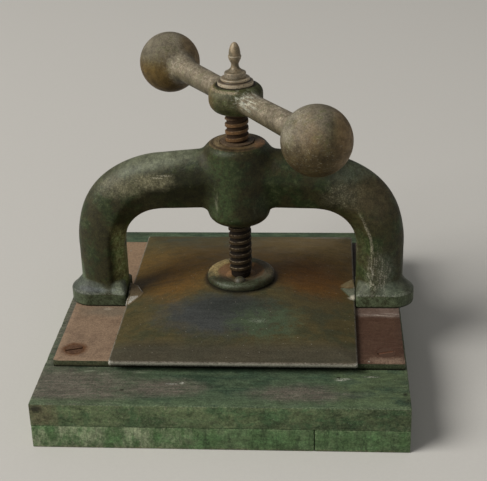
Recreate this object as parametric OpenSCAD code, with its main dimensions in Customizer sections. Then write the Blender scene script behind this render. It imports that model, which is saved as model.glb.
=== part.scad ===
// Screw copying press: cast arch on an iron bed and a wooden base, platen driven by a ball-handled screw.
// Origin on the underside of the base, in line with the screw. +Z up, front towards -Y, closed at rest.

/* [Wooden base] */
// Width of the base, left to right
base_w = 374; // [360:1:400]
// Depth of the base, front to back
base_d = 406; // [330:1:430]
// Thickness of each of its two layers of board
board_t = 25; // [22:1:30]
// Base centre to the right of the screw
base_shift_x = -9.5; // [-12:0.5:0]
// Base centre behind the screw
base_shift_y = -11; // [-20:0.5:10]
// Butt joint of the lower layer, right of the screw
butt_joint_x = 84; // [60:1:110]

/* [Iron bed] */
// Width of the bed plate
bed_w = 362; // [350:1:366]
// Depth of the bed plate
bed_d = 288; // [270:1:310]
// Thickness of the bed plate
bed_t = 7.5; // [6:0.5:10]
// Bed centre to the right of the screw
bed_shift_x = -5.5; // [-8:0.5:0]
// Bed centre behind the screw
bed_shift_y = 1.5; // [-5:0.5:5]
// Head diameter of the corner screws
bed_screw_head_d = 19; // [14:0.5:20]

/* [Arch] */
// Clear width between the two legs
arch_span = 256; // [250:1:262]
// Width of a leg, inner face to outer crown
leg_w = 53; // [48:0.5:56]
// Depth of a leg at its widest, front to back
leg_d = 47; // [42:1:50]
// Length of a foot, inner face to outer end
foot_l = 64.5; // [60:0.5:68]
// Depth of a foot, and diameter of its round end
foot_d = 50; // [48:1:54]
// Height of the upright band of a foot
foot_band = 15; // [10:1:18]
// Inside height of the arch above the bed
arch_rise = 115; // [110:1:125]
// Diameter of the central boss
boss_d = 68; // [62:1:74]
// Length of the central boss
boss_l = 90.5; // [85:0.5:95]

/* [Screw] */
// Outside diameter of the thread
screw_d = 25.4; // [24:0.2:26]
// Pitch of the single-start right-hand thread
pitch = 8; // [7:0.5:9]
// Depth of the thread
thread_depth = 1.9; // [1.5:0.1:2]

/* [Platen] */
// Width of the platen
platen_w = 254; // [240:1:254]
// Depth of the platen
platen_d = 304; // [280:1:310]
// Thickness of the platen at its edges
platen_edge = 4.5; // [4:0.5:7]
// Thickness of the platen at its middle
platen_mid = 25; // [22:0.5:28]
// Gap between the platen and the bed when closed
closed_gap = 0.3; // [0.3:0.1:1]
// Diameter of the swivel collar
collar_d = 75; // [70:1:80]

/* [Ball handle] */
// Diameter of each ball
ball_d = 69; // [60:1:76]
// Screw axis to the centre of a ball
ball_reach = 157; // [145:1:170]
// Direction of the nearer ball, seen from above
handle_angle = -57; // [-90:1:0]
// Diameter of the hub
hub_d = 57.5; // [54:0.5:62]

/* [Hidden] */
$fn = 64;
cut = 1;
slice_t = 0.1;

paint = [0.27, 0.32, 0.24];
worn_iron = [0.47, 0.44, 0.38];
rusty_iron = [0.42, 0.29, 0.2];
bed_iron = [0.55, 0.43, 0.36];
rust_screw = [0.4, 0.24, 0.13];
steel = [0.5, 0.5, 0.48];
painted_wood = [0.38, 0.43, 0.34];

// Levels
boss_drop = 18;
base_top = 2 * board_t;
bed_top = base_top + bed_t;
arch_top = bed_top + arch_rise;
platen_under = bed_top + closed_gap;
platen_top = platen_under + platen_edge;
seat_top = platen_under + platen_mid;
boss_bottom = arch_top - boss_drop;
boss_top = boss_bottom + boss_l;

// Base and bed
base_left = base_shift_x - base_w / 2;
base_right = base_shift_x + base_w / 2;
base_front = base_shift_y - base_d / 2;
bed_left = bed_shift_x - bed_w / 2;
bed_front = bed_shift_y - bed_d / 2;
bed_screw_inset = [18.5, 23];
bed_screw_shank_d = 7;
bed_screw_l = 31;
bed_screw_slot = [2.8, 1.4];
slot_angle = 18;
base_screw_head_d = 9;
base_screw_shank_d = 4;
base_screw_l = 42;
base_screw_edge = 22;

// Arch casting
half_span = arch_span / 2;
corner_x = 81;
corner_r = half_span - corner_x;
corner_z = arch_top - corner_r;
corner_sweep = 73;
beam_lap = 1.5;
beam_inset = 0.3;
crease_u = 16;
inner_flat = 20;
inner_round = [1.5, 3];
shoulder_h = 15;
beam_mid_x = 70;
beam_mid_h = 60.3;
beam_end_x = 22;
beam_end_h = 64.5;
beam_crease_u = 34;
beam_flat = 35;
boss_round = 13;
boss_top_round = 9;
boss_fillet_r = 8;
boss_fillet_w = 24;
boss_fillet_sink = 2.5;
nut_d = 36;
nut_proud = 1.2;
nut_recess = 1.5;
nut_bottom = boss_bottom + nut_recess;
nut_top = boss_top + nut_proud;
lock_pin_d = 4;
lock_pin_l = 12;

// Bolts that hold the arch to the base, from below
arch_bolt_in = 22;
arch_bolt_x = half_span + arch_bolt_in;
arch_bolt_d = 12;
arch_bolt_up = 20;
arch_bolt_head = [19, 8];
arch_bolt_hole_d = 13;
counterbore = [30, 13];
washer = [27, 2.5];

// Screw spindle
root_r = screw_d / 2 - thread_depth;
crest_r = screw_d / 2;
thread_land = 0.4 * pitch;
thread_flank = 0.1 * pitch;
thread_facets = 20;
thread_fade = 0.5;
thread_play = 0.4;
nut_above_turns = 3;
pad_d = 24;
pad_t = 4;
pocket_d = 27;
pocket_depth = 17;
pad_bottom = seat_top - pocket_depth;
flange_d = 24.4;
flange_play = [0.1, 0.3];
flange_bottom = pad_bottom + pad_t + flange_play[0];
flange_top = seat_top - flange_play[1];
neck_d = 17;
neck_play = 0.1;
neck_rise = 5;
thread_bottom = seat_top + neck_rise;
hub_rise = 33;
hub_bottom = boss_top + hub_rise;
hub_h = 30;
hub_top = hub_bottom + hub_h;
thread_turns = floor((hub_bottom - thread_bottom) / pitch) - 1;
thread_top = thread_bottom + (thread_turns + 1) * pitch;
join = 1;
square_seat = 16;
square_play = 0.1;
stud_d = 11;
stud_l = 13;
stud_top = hub_top + stud_l;

// Platen and swivel collar
seat_d = 78;
seat_skin = 0.5;
lug_in = 18;
lug_steep = 17;
lug_slope = 32;
lug_rise = 10;
lug_ridge_fall = 2;
lug_root = 1.5;
lug_play = 0.5;
collar_edge = 4;
collar_round = 4.3;
collar_floor = 3.5;
ridge_in_r = 28.5;
recess = [24.5, 6.7];
floor_r = 17;
split_gap = 0.4;
collar_bolt_y = 21.5;
collar_bolt_d = 8;
collar_bolt_head = [12.4, 4.6];
spot_face_d = 17;
spot_face_rise = 6.6;
spot_face_z = seat_top + spot_face_rise;
collar_bolt_down = 12;

// Ball handle
hub_round = 14;
hub_dome = 9.5;
arm_rise = 15.5;
arm_z = hub_bottom + arm_rise;
arm_start = 12;
arm_r_hub = 11.8;
arm_r_ball = 13.2;
flare_l = 14;
flare_r = 17.5;
flare_end = ball_reach - sqrt(pow(ball_d / 2, 2) - pow(flare_r, 2)) + 1;

// Cap washer and finial
cap_steps = [[37.6, 4], [31, 3.6]];
cap_top = hub_top + cap_steps[0][1] + cap_steps[1][1];
cap_hole_d = 11.4;
disc_r = 11.4;
disc_h = 5.2;
disc_dome = [8.5, 6.4];
neck_r = 3.9;
neck_z = 13.5;
neck_flare = [[1.6, -4.3], [1.2, 3.4]];
cup_r = 6.9;
cup_z = 21.7;
cup_h = 1.6;
acorn_r = 6.2;
finial_h = 37;

// Points along an arc about c, from angle a to angle b
function arc(c, r, a, b, steps) =
    [for (i = [0 : steps]) let (t = a + (b - a) * i / steps) [c[0] + r * cos(t), c[1] + r * sin(t)]];

// Half of the casting cut across: u is the distance from the flat inner side, v the half depth,
// widest at the crease and round from there to the outer crown
function casting_half(h, crease, flat) = concat(
    [[0, flat / 2 - inner_round[1]], [inner_round[0], flat / 2]],
    [for (a = [0 : 15 : 75]) [crease + (h - crease) * sin(a), leg_d / 2 * cos(a)]]);

function mirrored(points) = [for (i = [len(points) - 1 : -1 : 0]) [points[i][0], -points[i][1]]];

module casting_section(h, crease, flat) {
    half = casting_half(h, crease, flat);
    polygon(concat(half, [[h, 0]], mirrored(half)));
}

module at_sides() {
    for (side = [0, 1]) mirror([side, 0, 0]) children();
}

module turned(points, z) {
    translate([0, 0, z]) rotate_extrude() polygon(points);
}

// Right-hand threaded rod as one closed surface. Columns of profile points stand round the axis, and
// the last column meets the first one a turn higher. The thread fades in and out over its end turns.
module threaded_rod(z0, turns, root, crest, land) {
    rise = [for (side = [-1, 1]) pitch / 2 + side * land / 2];
    profile = [[root, rise[0] - thread_flank], [crest, rise[0]],
        [crest, rise[1]], [root, rise[1] + thread_flank]];
    z1 = z0 + (turns + 1) * pitch;
    last = 4 * turns + 1;
    end = thread_facets - 1;

    function fade(t) = max(0, min(1, min(t, turns - t) / thread_fade));
    function around(i, r, z) = [r * cos(360 * i / thread_facets), r * sin(360 * i / thread_facets), z];
    function thread_point(i, t, corner) =
        around(i, root + (corner[0] - root) * fade(t), z0 + t * pitch + corner[1]);
    function column_point(i, p) =
        p == 0 ? around(i, root, z0)
        : p == last ? around(i, root, z1)
        : thread_point(i, i / thread_facets + floor((p - 1) / 4), profile[(p - 1) % 4]);
    function at(i, p) = i * (last + 1) + p;

    points = concat([for (i = [0 : end], p = [0 : last]) column_point(i, p)], [[0, 0, z0], [0, 0, z1]]);
    foot = at(thread_facets, 0);
    crown = foot + 1;
    walls = [for (i = [0 : end - 1], p = [0 : last - 1], low = [true, false])
        low ? [at(i, p), at(i, p + 1), at(i + 1, p + 1)] : [at(i, p), at(i + 1, p + 1), at(i + 1, p)]];
    seam_foot = concat([for (p = [0 : 4]) [at(end, 0), at(0, p + 1), at(0, p)]],
        [[at(end, 0), at(end, 1), at(0, 5)]]);
    seam = [for (p = [1 : last - 6], low = [true, false])
        low ? [at(end, p), at(end, p + 1), at(0, p + 5)] : [at(end, p), at(0, p + 5), at(0, p + 4)]];
    seam_crown = concat([[at(end, last - 5), at(0, last), at(0, last - 1)]],
        [for (p = [last - 5 : last - 1]) [at(end, p), at(end, p + 1), at(0, last)]]);
    caps = [for (i = [0 : end], low = [true, false]) let (next = (i + 1) % thread_facets)
        low ? [foot, at(i, 0), at(next, 0)] : [crown, at(next, last), at(i, last)]];
    polyhedron(points, concat(walls, seam_foot, seam, seam_crown, caps));
}

module arch_bolt_holes(z0, z1) {
    for (side = [-1, 1]) translate([side * arch_bolt_x, 0, z0]) cylinder(h = z1 - z0, d = arch_bolt_hole_d);
}

module bed_screw_places() {
    for (x = [bed_left + bed_screw_inset[0], bed_left + bed_w - bed_screw_inset[0]],
        y = [bed_front + bed_screw_inset[1], bed_front + bed_d - bed_screw_inset[1]])
        translate([x, y, bed_top]) children();
}

module base_screw_places() {
    for (x = [base_left + base_screw_edge, (base_left + butt_joint_x) / 2, butt_joint_x - base_screw_edge,
            butt_joint_x + base_screw_edge, base_right - base_screw_edge],
        y = [base_front + base_screw_edge, base_front + base_d - base_screw_edge])
        translate([x, y, 0]) children();
}

// Countersunk screw with its head's flat side at the origin, pointing down
module countersunk(head_d, shank_d, l) {
    cone_h = (head_d - shank_d) / 2;
    translate([0, 0, -cone_h]) cylinder(h = cone_h, d1 = shank_d, d2 = head_d);
    translate([0, 0, -l]) cylinder(h = l - cone_h, d = shank_d);
}

module base_screw() {
    rotate([180, 0, 0]) countersunk(base_screw_head_d, base_screw_shank_d, base_screw_l);
}

module bed_screw() {
    countersunk(bed_screw_head_d, bed_screw_shank_d, bed_screw_l);
}

module lower_board(x0, x1) {
    difference() {
        translate([x0, base_front, 0]) cube([x1 - x0, base_d, board_t]);
        arch_bolt_holes(-cut, board_t + cut);
        for (side = [-1, 1])
            translate([side * arch_bolt_x, 0, -cut]) cylinder(h = counterbore[1] + cut, d = counterbore[0]);
        base_screw_places() base_screw();
    }
}

module base_top_board() {
    color(painted_wood)
    difference() {
        translate([base_left, base_front, board_t]) cube([base_w, base_d, board_t]);
        arch_bolt_holes(board_t - cut, base_top + cut);
        base_screw_places() base_screw();
        bed_screw_places() bed_screw();
    }
}

module base_lower_board_left() {
    color(painted_wood) lower_board(base_left, butt_joint_x);
}

module base_lower_board_right() {
    color(painted_wood) lower_board(butt_joint_x, base_right);
}

module base_screws() {
    color(steel) base_screw_places() base_screw();
}

module bed_plate() {
    color(bed_iron)
    difference() {
        translate([bed_left, bed_front, base_top]) cube([bed_w, bed_d, bed_t]);
        arch_bolt_holes(base_top - cut, bed_top + cut);
        bed_screw_places() bed_screw();
    }
}

module bed_screws() {
    color(rust_screw)
    bed_screw_places()
    difference() {
        bed_screw();
        rotate([0, 0, slot_angle])
            translate([-bed_screw_head_d / 2 - cut, -bed_screw_slot[0] / 2, -bed_screw_slot[1]])
                cube([bed_screw_head_d + 2 * cut, bed_screw_slot[0], bed_screw_slot[1] + cut]);
    }
}

// Foot with a flat inner side and a round outer end
module foot_outline() {
    r = foot_d / 2;
    polygon(concat([[0, -r]], arc([foot_l - r, 0], r, -90, 90, 24), [[0, r]]));
}

module leg() {
    shoulder_z = bed_top + foot_band;
    leg_z = shoulder_z + shoulder_h;
    translate([half_span, 0, bed_top]) linear_extrude(foot_band) foot_outline();
    hull() {
        translate([half_span, 0, shoulder_z]) linear_extrude(slice_t) foot_outline();
        translate([half_span, 0, leg_z - slice_t]) linear_extrude(slice_t)
            casting_section(leg_w, crease_u, inner_flat);
    }
    translate([half_span, 0, leg_z]) linear_extrude(corner_z - leg_z)
        casting_section(leg_w, crease_u, inner_flat);
}

module corner() {
    translate([corner_x, 0, corner_z]) rotate([90, 0, 0]) rotate_extrude(angle = corner_sweep)
        translate([corner_r, 0]) casting_section(leg_w, crease_u, inner_flat);
}

module upright_slice(x, h, crease, flat) {
    translate([x, 0, arch_top]) rotate([0, -90, 0]) linear_extrude(slice_t) casting_section(h, crease, flat);
}

// Straight part of the arch. Its outer end is a little smaller than the corner and lies just inside it.
module beam() {
    hull() {
        translate([corner_x, 0, corner_z]) rotate([0, beam_lap - corner_sweep, 0]) linear_extrude(slice_t)
            translate([corner_r, 0]) offset(delta = -beam_inset) casting_section(leg_w, crease_u, inner_flat);
        upright_slice(beam_mid_x, beam_mid_h, crease_u, beam_flat);
    }
    hull() {
        upright_slice(beam_mid_x, beam_mid_h, crease_u, beam_flat);
        upright_slice(beam_end_x, beam_end_h, beam_crease_u, beam_flat);
    }
}

module boss() {
    r = boss_d / 2;
    h = boss_l;
    turned(concat([[0, 0]], arc([r - boss_round, boss_round], boss_round, -90, 0, 8),
        arc([r - boss_top_round, h - boss_top_round], boss_top_round, 0, 90, 6), [[0, h]]), boss_bottom);
}

// Fillet in the corner between the underside of the beam and the boss
module boss_fillet() {
    f = boss_fillet_r;
    translate([boss_d / 2 - boss_fillet_sink, boss_fillet_w / 2, arch_top])
        rotate([90, 0, 0]) linear_extrude(boss_fillet_w)
            polygon(concat([[-f, -f]], arc([f, -f], f, 180, 100, 5), [[f, join], [-f, join]]));
}

module arch_frame() {
    color(paint)
    difference() {
        union() {
            at_sides() {
                leg();
                corner();
                beam();
                boss_fillet();
            }
            boss();
        }
        translate([0, 0, boss_bottom - cut]) cylinder(h = boss_l + 2 * cut, d = nut_d);
        translate([0, nut_d / 2, boss_top - lock_pin_l]) cylinder(h = lock_pin_l + cut, d = lock_pin_d);
        for (side = [-1, 1])
            translate([side * arch_bolt_x, 0, bed_top - cut])
                cylinder(h = arch_bolt_up + 2 * cut, d = arch_bolt_d);
    }
}

module arch_bolts() {
    color(steel)
    for (side = [-1, 1]) translate([side * arch_bolt_x, 0, counterbore[1] - washer[1]]) {
        translate([0, 0, -arch_bolt_head[1]]) cylinder(h = arch_bolt_head[1], d = arch_bolt_head[0], $fn = 6);
        cylinder(h = bed_top + arch_bolt_up - counterbore[1] + washer[1], d = arch_bolt_d);
    }
}

module arch_bolt_washers() {
    color(steel)
    for (side = [-1, 1]) translate([side * arch_bolt_x, 0, counterbore[1] - washer[1]])
        difference() {
            cylinder(h = washer[1], d = washer[0]);
            translate([0, 0, -cut]) cylinder(h = washer[1] + 2 * cut, d = arch_bolt_hole_d);
        }
}

module screw_nut() {
    turns_below = floor((nut_bottom - thread_bottom) / pitch) - 1;
    turns = ceil((nut_top - nut_bottom) / pitch) + nut_above_turns;
    color(rusty_iron)
    difference() {
        translate([0, 0, nut_bottom]) cylinder(h = nut_top - nut_bottom, d = nut_d);
        threaded_rod(thread_bottom + turns_below * pitch, turns,
            root_r + thread_play, crest_r + thread_play, thread_land + 2 * thread_play);
        translate([0, nut_d / 2, boss_top - lock_pin_l]) cylinder(h = lock_pin_l + 2 * cut, d = lock_pin_d);
    }
}

module nut_lock_pin() {
    color(steel) translate([0, nut_d / 2, boss_top - lock_pin_l]) cylinder(h = lock_pin_l, d = lock_pin_d);
}

// Guide lug at the middle of the right-hand edge: steep in front, sloping away behind
module lug() {
    x = half_span - lug_play;
    z = platen_top - lug_root;
    top = platen_top + lug_rise;
    ridge_y = -lug_steep / 3;
    points = [[x, -lug_steep, z], [x, lug_slope, z], [x - lug_in, 0, z + lug_root],
        [x, ridge_y, top], [x - lug_in / 2, ridge_y, top - lug_ridge_fall]];
    polyhedron(points, [[0, 1, 2], [0, 3, 1], [0, 4, 3], [0, 2, 4], [2, 1, 4], [4, 1, 3]]);
}

module platen() {
    color(worn_iron)
    difference() {
        union() {
            hull() {
                translate([-platen_w / 2, -platen_d / 2, platen_under])
                    cube([platen_w, platen_d, platen_edge]);
                translate([0, 0, seat_top - seat_skin]) cylinder(h = seat_skin, d = seat_d, $fn = 32);
            }
            for (turn = [0, 180]) rotate([0, 0, turn]) lug();
        }
        translate([0, 0, pad_bottom]) cylinder(h = pocket_depth + cut, d = pocket_d);
        for (side = [-1, 1]) translate([0, side * collar_bolt_y, seat_top - collar_bolt_down])
            cylinder(h = collar_bolt_down + cut, d = collar_bolt_d);
    }
}

module thrust_pad() {
    color(steel) translate([0, 0, pad_bottom]) cylinder(h = pad_t, d = pad_d);
}

module collar_ring() {
    hole_r = neck_d / 2 + neck_play;
    rise = collar_edge + collar_round;
    difference() {
        union() {
            turned(concat([[hole_r, 0], [collar_d / 2, 0]],
                arc([collar_d / 2 - collar_round, collar_edge], collar_round, 0, 90, 6),
                [[ridge_in_r, rise], recess, [floor_r, collar_floor], [hole_r, collar_floor]]), seat_top);
            for (side = [-1, 1]) translate([0, side * collar_bolt_y, seat_top])
                cylinder(h = spot_face_z - seat_top, d = collar_bolt_head[0]);
        }
        for (side = [-1, 1]) translate([0, side * collar_bolt_y, 0]) {
            translate([0, 0, spot_face_z]) cylinder(h = rise, d = spot_face_d);
            translate([0, 0, seat_top - cut]) cylinder(h = rise, d = collar_bolt_d);
        }
    }
}

// The half of the collar on one side of the split across the middle
module collar_half(side) {
    reach = collar_d;
    intersection() {
        collar_ring();
        translate([-reach / 2, side > 0 ? split_gap / 2 : -split_gap / 2 - reach, seat_top - cut])
            cube([reach, reach, collar_edge + collar_round + 2 * cut]);
    }
}

module swivel_collar_front() {
    color(worn_iron) collar_half(-1);
}

module swivel_collar_rear() {
    color(worn_iron) collar_half(1);
}

module collar_bolts() {
    r = collar_bolt_head[0] / 2;
    h = collar_bolt_head[1];
    dome_r = (r * r + h * h) / (2 * h);
    color(steel)
    for (side = [-1, 1]) translate([0, side * collar_bolt_y, 0]) {
        turned(concat([[0, 0]], arc([0, h - dome_r], dome_r, asin((dome_r - h) / dome_r), 90, 6)),
            spot_face_z);
        translate([0, 0, seat_top - collar_bolt_down])
            cylinder(h = spot_face_z - seat_top + collar_bolt_down, d = collar_bolt_d);
    }
}

module screw_spindle() {
    color(rusty_iron) {
        translate([0, 0, flange_bottom]) cylinder(h = flange_top - flange_bottom, d = flange_d);
        translate([0, 0, flange_top - join]) cylinder(h = thread_bottom - flange_top + 2 * join, d = neck_d);
        threaded_rod(thread_bottom, thread_turns, root_r, crest_r, thread_land);
        translate([0, 0, thread_top - join]) cylinder(h = hub_bottom - thread_top + join, r = crest_r);
        rotate([0, 0, handle_angle]) translate([-square_seat / 2, -square_seat / 2, hub_bottom - join])
            cube([square_seat, square_seat, hub_h + join]);
        translate([0, 0, hub_top - join]) cylinder(h = stud_top - hub_top + join, d = stud_d);
    }
}

module handle_hub() {
    r = hub_d / 2;
    turned(concat([[0, 0]], arc([r - hub_round, hub_round], hub_round, -90, 0, 8),
        arc([r - hub_dome, hub_h - hub_dome], hub_dome, 0, 90, 6), [[0, hub_h]]), hub_bottom);
}

module arm() {
    arm_l = flare_end - flare_l - arm_start;
    translate([arm_start, 0, arm_z]) rotate([0, 90, 0]) cylinder(h = arm_l, r1 = arm_r_hub, r2 = arm_r_ball);
    translate([flare_end - flare_l, 0, arm_z]) rotate([0, 90, 0])
        cylinder(h = flare_l, r1 = arm_r_ball, r2 = flare_r);
    translate([ball_reach, 0, arm_z]) sphere(d = ball_d);
}

module ball_handle() {
    hole = square_seat + 2 * square_play;
    color(worn_iron)
    rotate([0, 0, handle_angle])
    difference() {
        union() {
            handle_hub();
            for (turn = [0, 180]) rotate([0, 0, turn]) arm();
        }
        translate([-hole / 2, -hole / 2, hub_bottom - cut]) cube([hole, hole, hub_h + 2 * cut]);
    }
}

module cap_washer() {
    color(worn_iron)
    difference() {
        union() {
            translate([0, 0, hub_top]) cylinder(h = cap_steps[0][1], d = cap_steps[0][0]);
            translate([0, 0, hub_top + cap_steps[0][1]]) cylinder(h = cap_steps[1][1], d = cap_steps[1][0]);
        }
        translate([0, 0, hub_top - cut]) cylinder(h = cap_top - hub_top + 2 * cut, d = cap_hole_d);
    }
}

// Finial nut: a disc with a sloping top, a thin neck and an acorn standing in its cup
module acorn_finial() {
    acorn_z = cup_z + cup_h;
    color(worn_iron)
    difference() {
        turned(concat([[0, 0], [disc_r, 0], [disc_r, disc_h], disc_dome,
            [neck_r, neck_z] + neck_flare[0], [neck_r, neck_z], [neck_r, neck_z] + neck_flare[1],
            [cup_r, cup_z], [cup_r, acorn_z], [acorn_r, acorn_z]],
            [for (a = [15 : 15 : 90]) [acorn_r * cos(a), acorn_z + (finial_h - acorn_z) * sin(a)]]), cap_top);
        translate([0, 0, cap_top - cut]) cylinder(h = stud_top - cap_top + cut, d = stud_d);
    }
}

base_top_board();
base_lower_board_left();
base_lower_board_right();
base_screws();
bed_plate();
bed_screws();
arch_frame();
arch_bolts();
arch_bolt_washers();
screw_nut();
nut_lock_pin();
platen();
thrust_pad();
swivel_collar_front();
swivel_collar_rear();
collar_bolts();
screw_spindle();
ball_handle();
cap_washer();
acorn_finial();
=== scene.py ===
"""Looks of the screw copying press: worn green castings on a painted wooden base.

Lengths are in millimetres of the part's own frame until a mesh is made, which is in metres.
"""

import math

import bmesh
import bpy
import numpy as np
from mathutils import Matrix, Vector


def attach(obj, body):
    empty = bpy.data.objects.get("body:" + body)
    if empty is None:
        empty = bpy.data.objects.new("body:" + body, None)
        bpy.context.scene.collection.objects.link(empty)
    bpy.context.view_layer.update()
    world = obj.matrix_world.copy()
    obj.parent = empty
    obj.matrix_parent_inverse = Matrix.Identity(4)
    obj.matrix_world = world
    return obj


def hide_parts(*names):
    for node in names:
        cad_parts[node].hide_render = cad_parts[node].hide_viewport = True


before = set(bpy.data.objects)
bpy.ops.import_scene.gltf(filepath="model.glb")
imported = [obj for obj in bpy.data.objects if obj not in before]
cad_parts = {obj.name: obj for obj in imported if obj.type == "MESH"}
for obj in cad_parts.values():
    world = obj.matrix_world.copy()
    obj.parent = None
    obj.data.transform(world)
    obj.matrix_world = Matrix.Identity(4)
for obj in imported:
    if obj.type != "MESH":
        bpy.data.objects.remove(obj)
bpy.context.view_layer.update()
MM = 0.001

# Levels
BASE_SEAM = 25.0
BASE_TOP = 50.0
BED_TOP = 57.5
PLATEN_UNDER = 57.8
PLATEN_EDGE_TOP = 62.3
SEAT_TOP = 82.8
ARCH_TOP = 172.5
BOSS_BOTTOM = 154.5
BOSS_TOP = 245.0
HUB_BOTTOM = 278.0
HUB_TOP = 308.0
ARM_Z = 293.5
CAP_TOP = 315.6
STUD_TOP = 321.0

# Plan
BASE_X = (-196.5, 177.5)
BASE_Y = (-214.0, 192.0)
BUTT_JOINT_X = 84.0
BED_X = (-186.5, 175.5)
BED_Y = (-142.5, 145.5)
BED_SCREWS_X = (-168.0, 157.0)
BED_SCREWS_Y = (-119.5, 122.5)
ARCH_BOLT_X = 150.0
HALF_SPAN = 128.0
HANDLE_ANGLE = math.radians(-57)


# Distance fields

def smooth_max(a, b, k):
    """The larger of two fields, with the edge between them rounded over about k."""
    h = np.clip(0.5 + 0.5 * (a - b) / k, 0, 1)
    return b + (a - b) * h + k * h * (1 - h)


def smooth_min(a, b, k):
    return -smooth_max(-a, -b, k)


def drum(r, z, radius, z0, z1, low_round, high_round):
    """Upright cylinder whose lower and upper edges have their own rounding."""
    middle = (z0 + z1) / 2
    rounding = np.where(z < middle, low_round, high_round)
    out = r - radius + rounding
    up = np.abs(z - middle) - (z1 - z0) / 2 + rounding
    return np.minimum(np.maximum(out, up), 0) + np.hypot(np.maximum(out, 0), np.maximum(up, 0)) - rounding


def facets(x, y, z, corners, faces, k):
    """Convex solid given by its corners and triangles, with rounded edges."""
    corners = np.array(corners, float)
    middle = corners.mean(0)
    field = None
    for a, b, c in faces:
        normal = np.cross(corners[b] - corners[a], corners[c] - corners[a])
        normal /= np.linalg.norm(normal)
        if normal @ (corners[a] - middle) < 0:
            normal = -normal
        plane = sum((p - corner) * n for p, corner, n in zip((x, y, z), corners[a], normal))
        field = plane if field is None else smooth_max(field, plane, k)
    return field


# Meshes

def crossings(field, axis):
    """Where each grid edge along an axis crosses the surface, as a share of the edge, or nan."""
    n = field.shape[axis]
    a = np.take(field, range(n - 1), axis)
    b = np.take(field, range(1, n), axis)
    crossed = (a < 0) != (b < 0)
    return np.where(crossed, a / np.where(crossed, a - b, 1), np.nan), a < 0


def surface(field, lo, hi, step, passes=2):
    """Closed quad mesh of a field's zero level, relaxed and then pulled onto the surface."""
    axes = [np.arange(a - 1.5 * step, b + 2.5 * step, step) for a, b in zip(lo, hi)]
    values = field(*np.meshgrid(*axes, indexing="ij"))
    cells = tuple(n - 1 for n in values.shape)
    total = np.zeros(cells + (3,))
    count = np.zeros(cells)
    quads = []
    cell_id = np.arange(np.prod(cells)).reshape(cells)
    for axis in range(3):
        share, inside = crossings(values, axis)
        b, c = (axis + 1) % 3, (axis + 2) % 3
        hit = ~np.isnan(share)
        where = np.argwhere(hit)
        point = where.astype(float)
        point[:, axis] += share[hit]
        for db in (0, 1):
            for dc in (0, 1):
                cell = where.copy()
                cell[:, b] -= db
                cell[:, c] -= dc
                np.add.at(total, tuple(cell.T), point)
                np.add.at(count, tuple(cell.T), 1)
        ring = []
        for db, dc in ((1, 1), (0, 1), (0, 0), (1, 0)):
            cell = where.copy()
            cell[:, b] -= db
            cell[:, c] -= dc
            ring.append(cell_id[tuple(cell.T)])
        ring = np.stack(ring, 1)
        out = inside[hit]
        quads.append(np.where(out[:, None], ring, ring[:, ::-1]))
    used = count > 0
    origin = np.array([a[0] for a in axes])
    points = origin + total[used] / count[used][:, None] * step
    number = np.full(cells, -1)
    number[used] = np.arange(used.sum())
    faces = number.ravel()[np.concatenate(quads)]
    for _ in range(passes):
        points = relaxed(points, faces)
        points = pulled(field, points)
    return points, faces


def relaxed(points, faces):
    """Each point half way to the mean of its neighbours."""
    total = np.zeros_like(points)
    count = np.zeros(len(points))
    for a, b in ((0, 1), (1, 2), (2, 3), (3, 0)):
        np.add.at(total, faces[:, a], points[faces[:, b]])
        np.add.at(total, faces[:, b], points[faces[:, a]])
        np.add.at(count, faces[:, a], 1)
        np.add.at(count, faces[:, b], 1)
    return 0.5 * points + 0.5 * total / np.maximum(count, 1)[:, None]


def pulled(field, points, steps=4, eps=0.05):
    """The points moved onto the field's zero level along its slope."""
    for _ in range(steps):
        value = field(*points.T)
        slope = np.stack([(field(*(points + eps * d).T) - field(*(points - eps * d).T)) / (2 * eps)
                          for d in np.eye(3)], 1)
        size = np.maximum((slope ** 2).sum(1), 0.05)
        points = points - np.clip(value / size, -1.0, 1.0)[:, None] * slope
    return points


def tube_faces(rows, columns):
    """Faces of a tube of rings of points, with a cap on its first and on its last ring."""
    faces = [tuple(range(columns))[::-1]]
    for i in range(rows - 1):
        low, high = i * columns, (i + 1) * columns
        after = [(j + 1) % columns for j in range(columns)]
        faces += [(low + j, low + k, high + k, high + j) for j, k in enumerate(after)]
    faces.append(tuple((rows - 1) * columns + j for j in range(columns)))
    return faces


def turned(profile, turns=72):
    """Closed mesh of an outline of (r, z) points turned about the axis."""
    profile = np.array(profile, float)
    angle = np.arange(turns) * 2 * math.pi / turns
    r, z = profile[:, 0][:, None], profile[:, 1][:, None]
    points = np.stack([r * np.cos(angle), r * np.sin(angle), z + 0 * angle], 2).reshape(-1, 3)
    rows = len(profile)
    faces = [(i * turns + j, i * turns + (j + 1) % turns,
              (i + 1) % rows * turns + (j + 1) % turns, (i + 1) % rows * turns + j)
             for i in range(rows) for j in range(turns)]
    return points, faces


def eased(outline, cut=0.5, steps=3):
    """Closed outline with each corner off the axis rounded over a length of cut."""
    outline = [np.array(p, float) for p in outline]
    result = []
    for i, p in enumerate(outline):
        a, b = outline[i - 1], outline[(i + 1) % len(outline)]
        if p[0] < 1e-6:
            result.append(p)
            continue
        start = p + (a - p) * min(0.45, cut / max(np.linalg.norm(a - p), 1e-9))
        end = p + (b - p) * min(0.45, cut / max(np.linalg.norm(b - p), 1e-9))
        for t in np.linspace(0, 1, steps + 1):
            result.append((1 - t) ** 2 * start + 2 * t * (1 - t) * p + t * t * end)
    return result


def wobble(along, size, seed):
    """Smooth noise from 0 to 1 at the places along a line, for worn edges."""
    values = np.random.default_rng(seed).random(4096)
    place = along / size
    i = np.floor(place).astype(int)
    t = place - i
    t = t * t * (3 - 2 * t)
    return values[i % 4096] * (1 - t) + values[(i + 1) % 4096] * t


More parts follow.
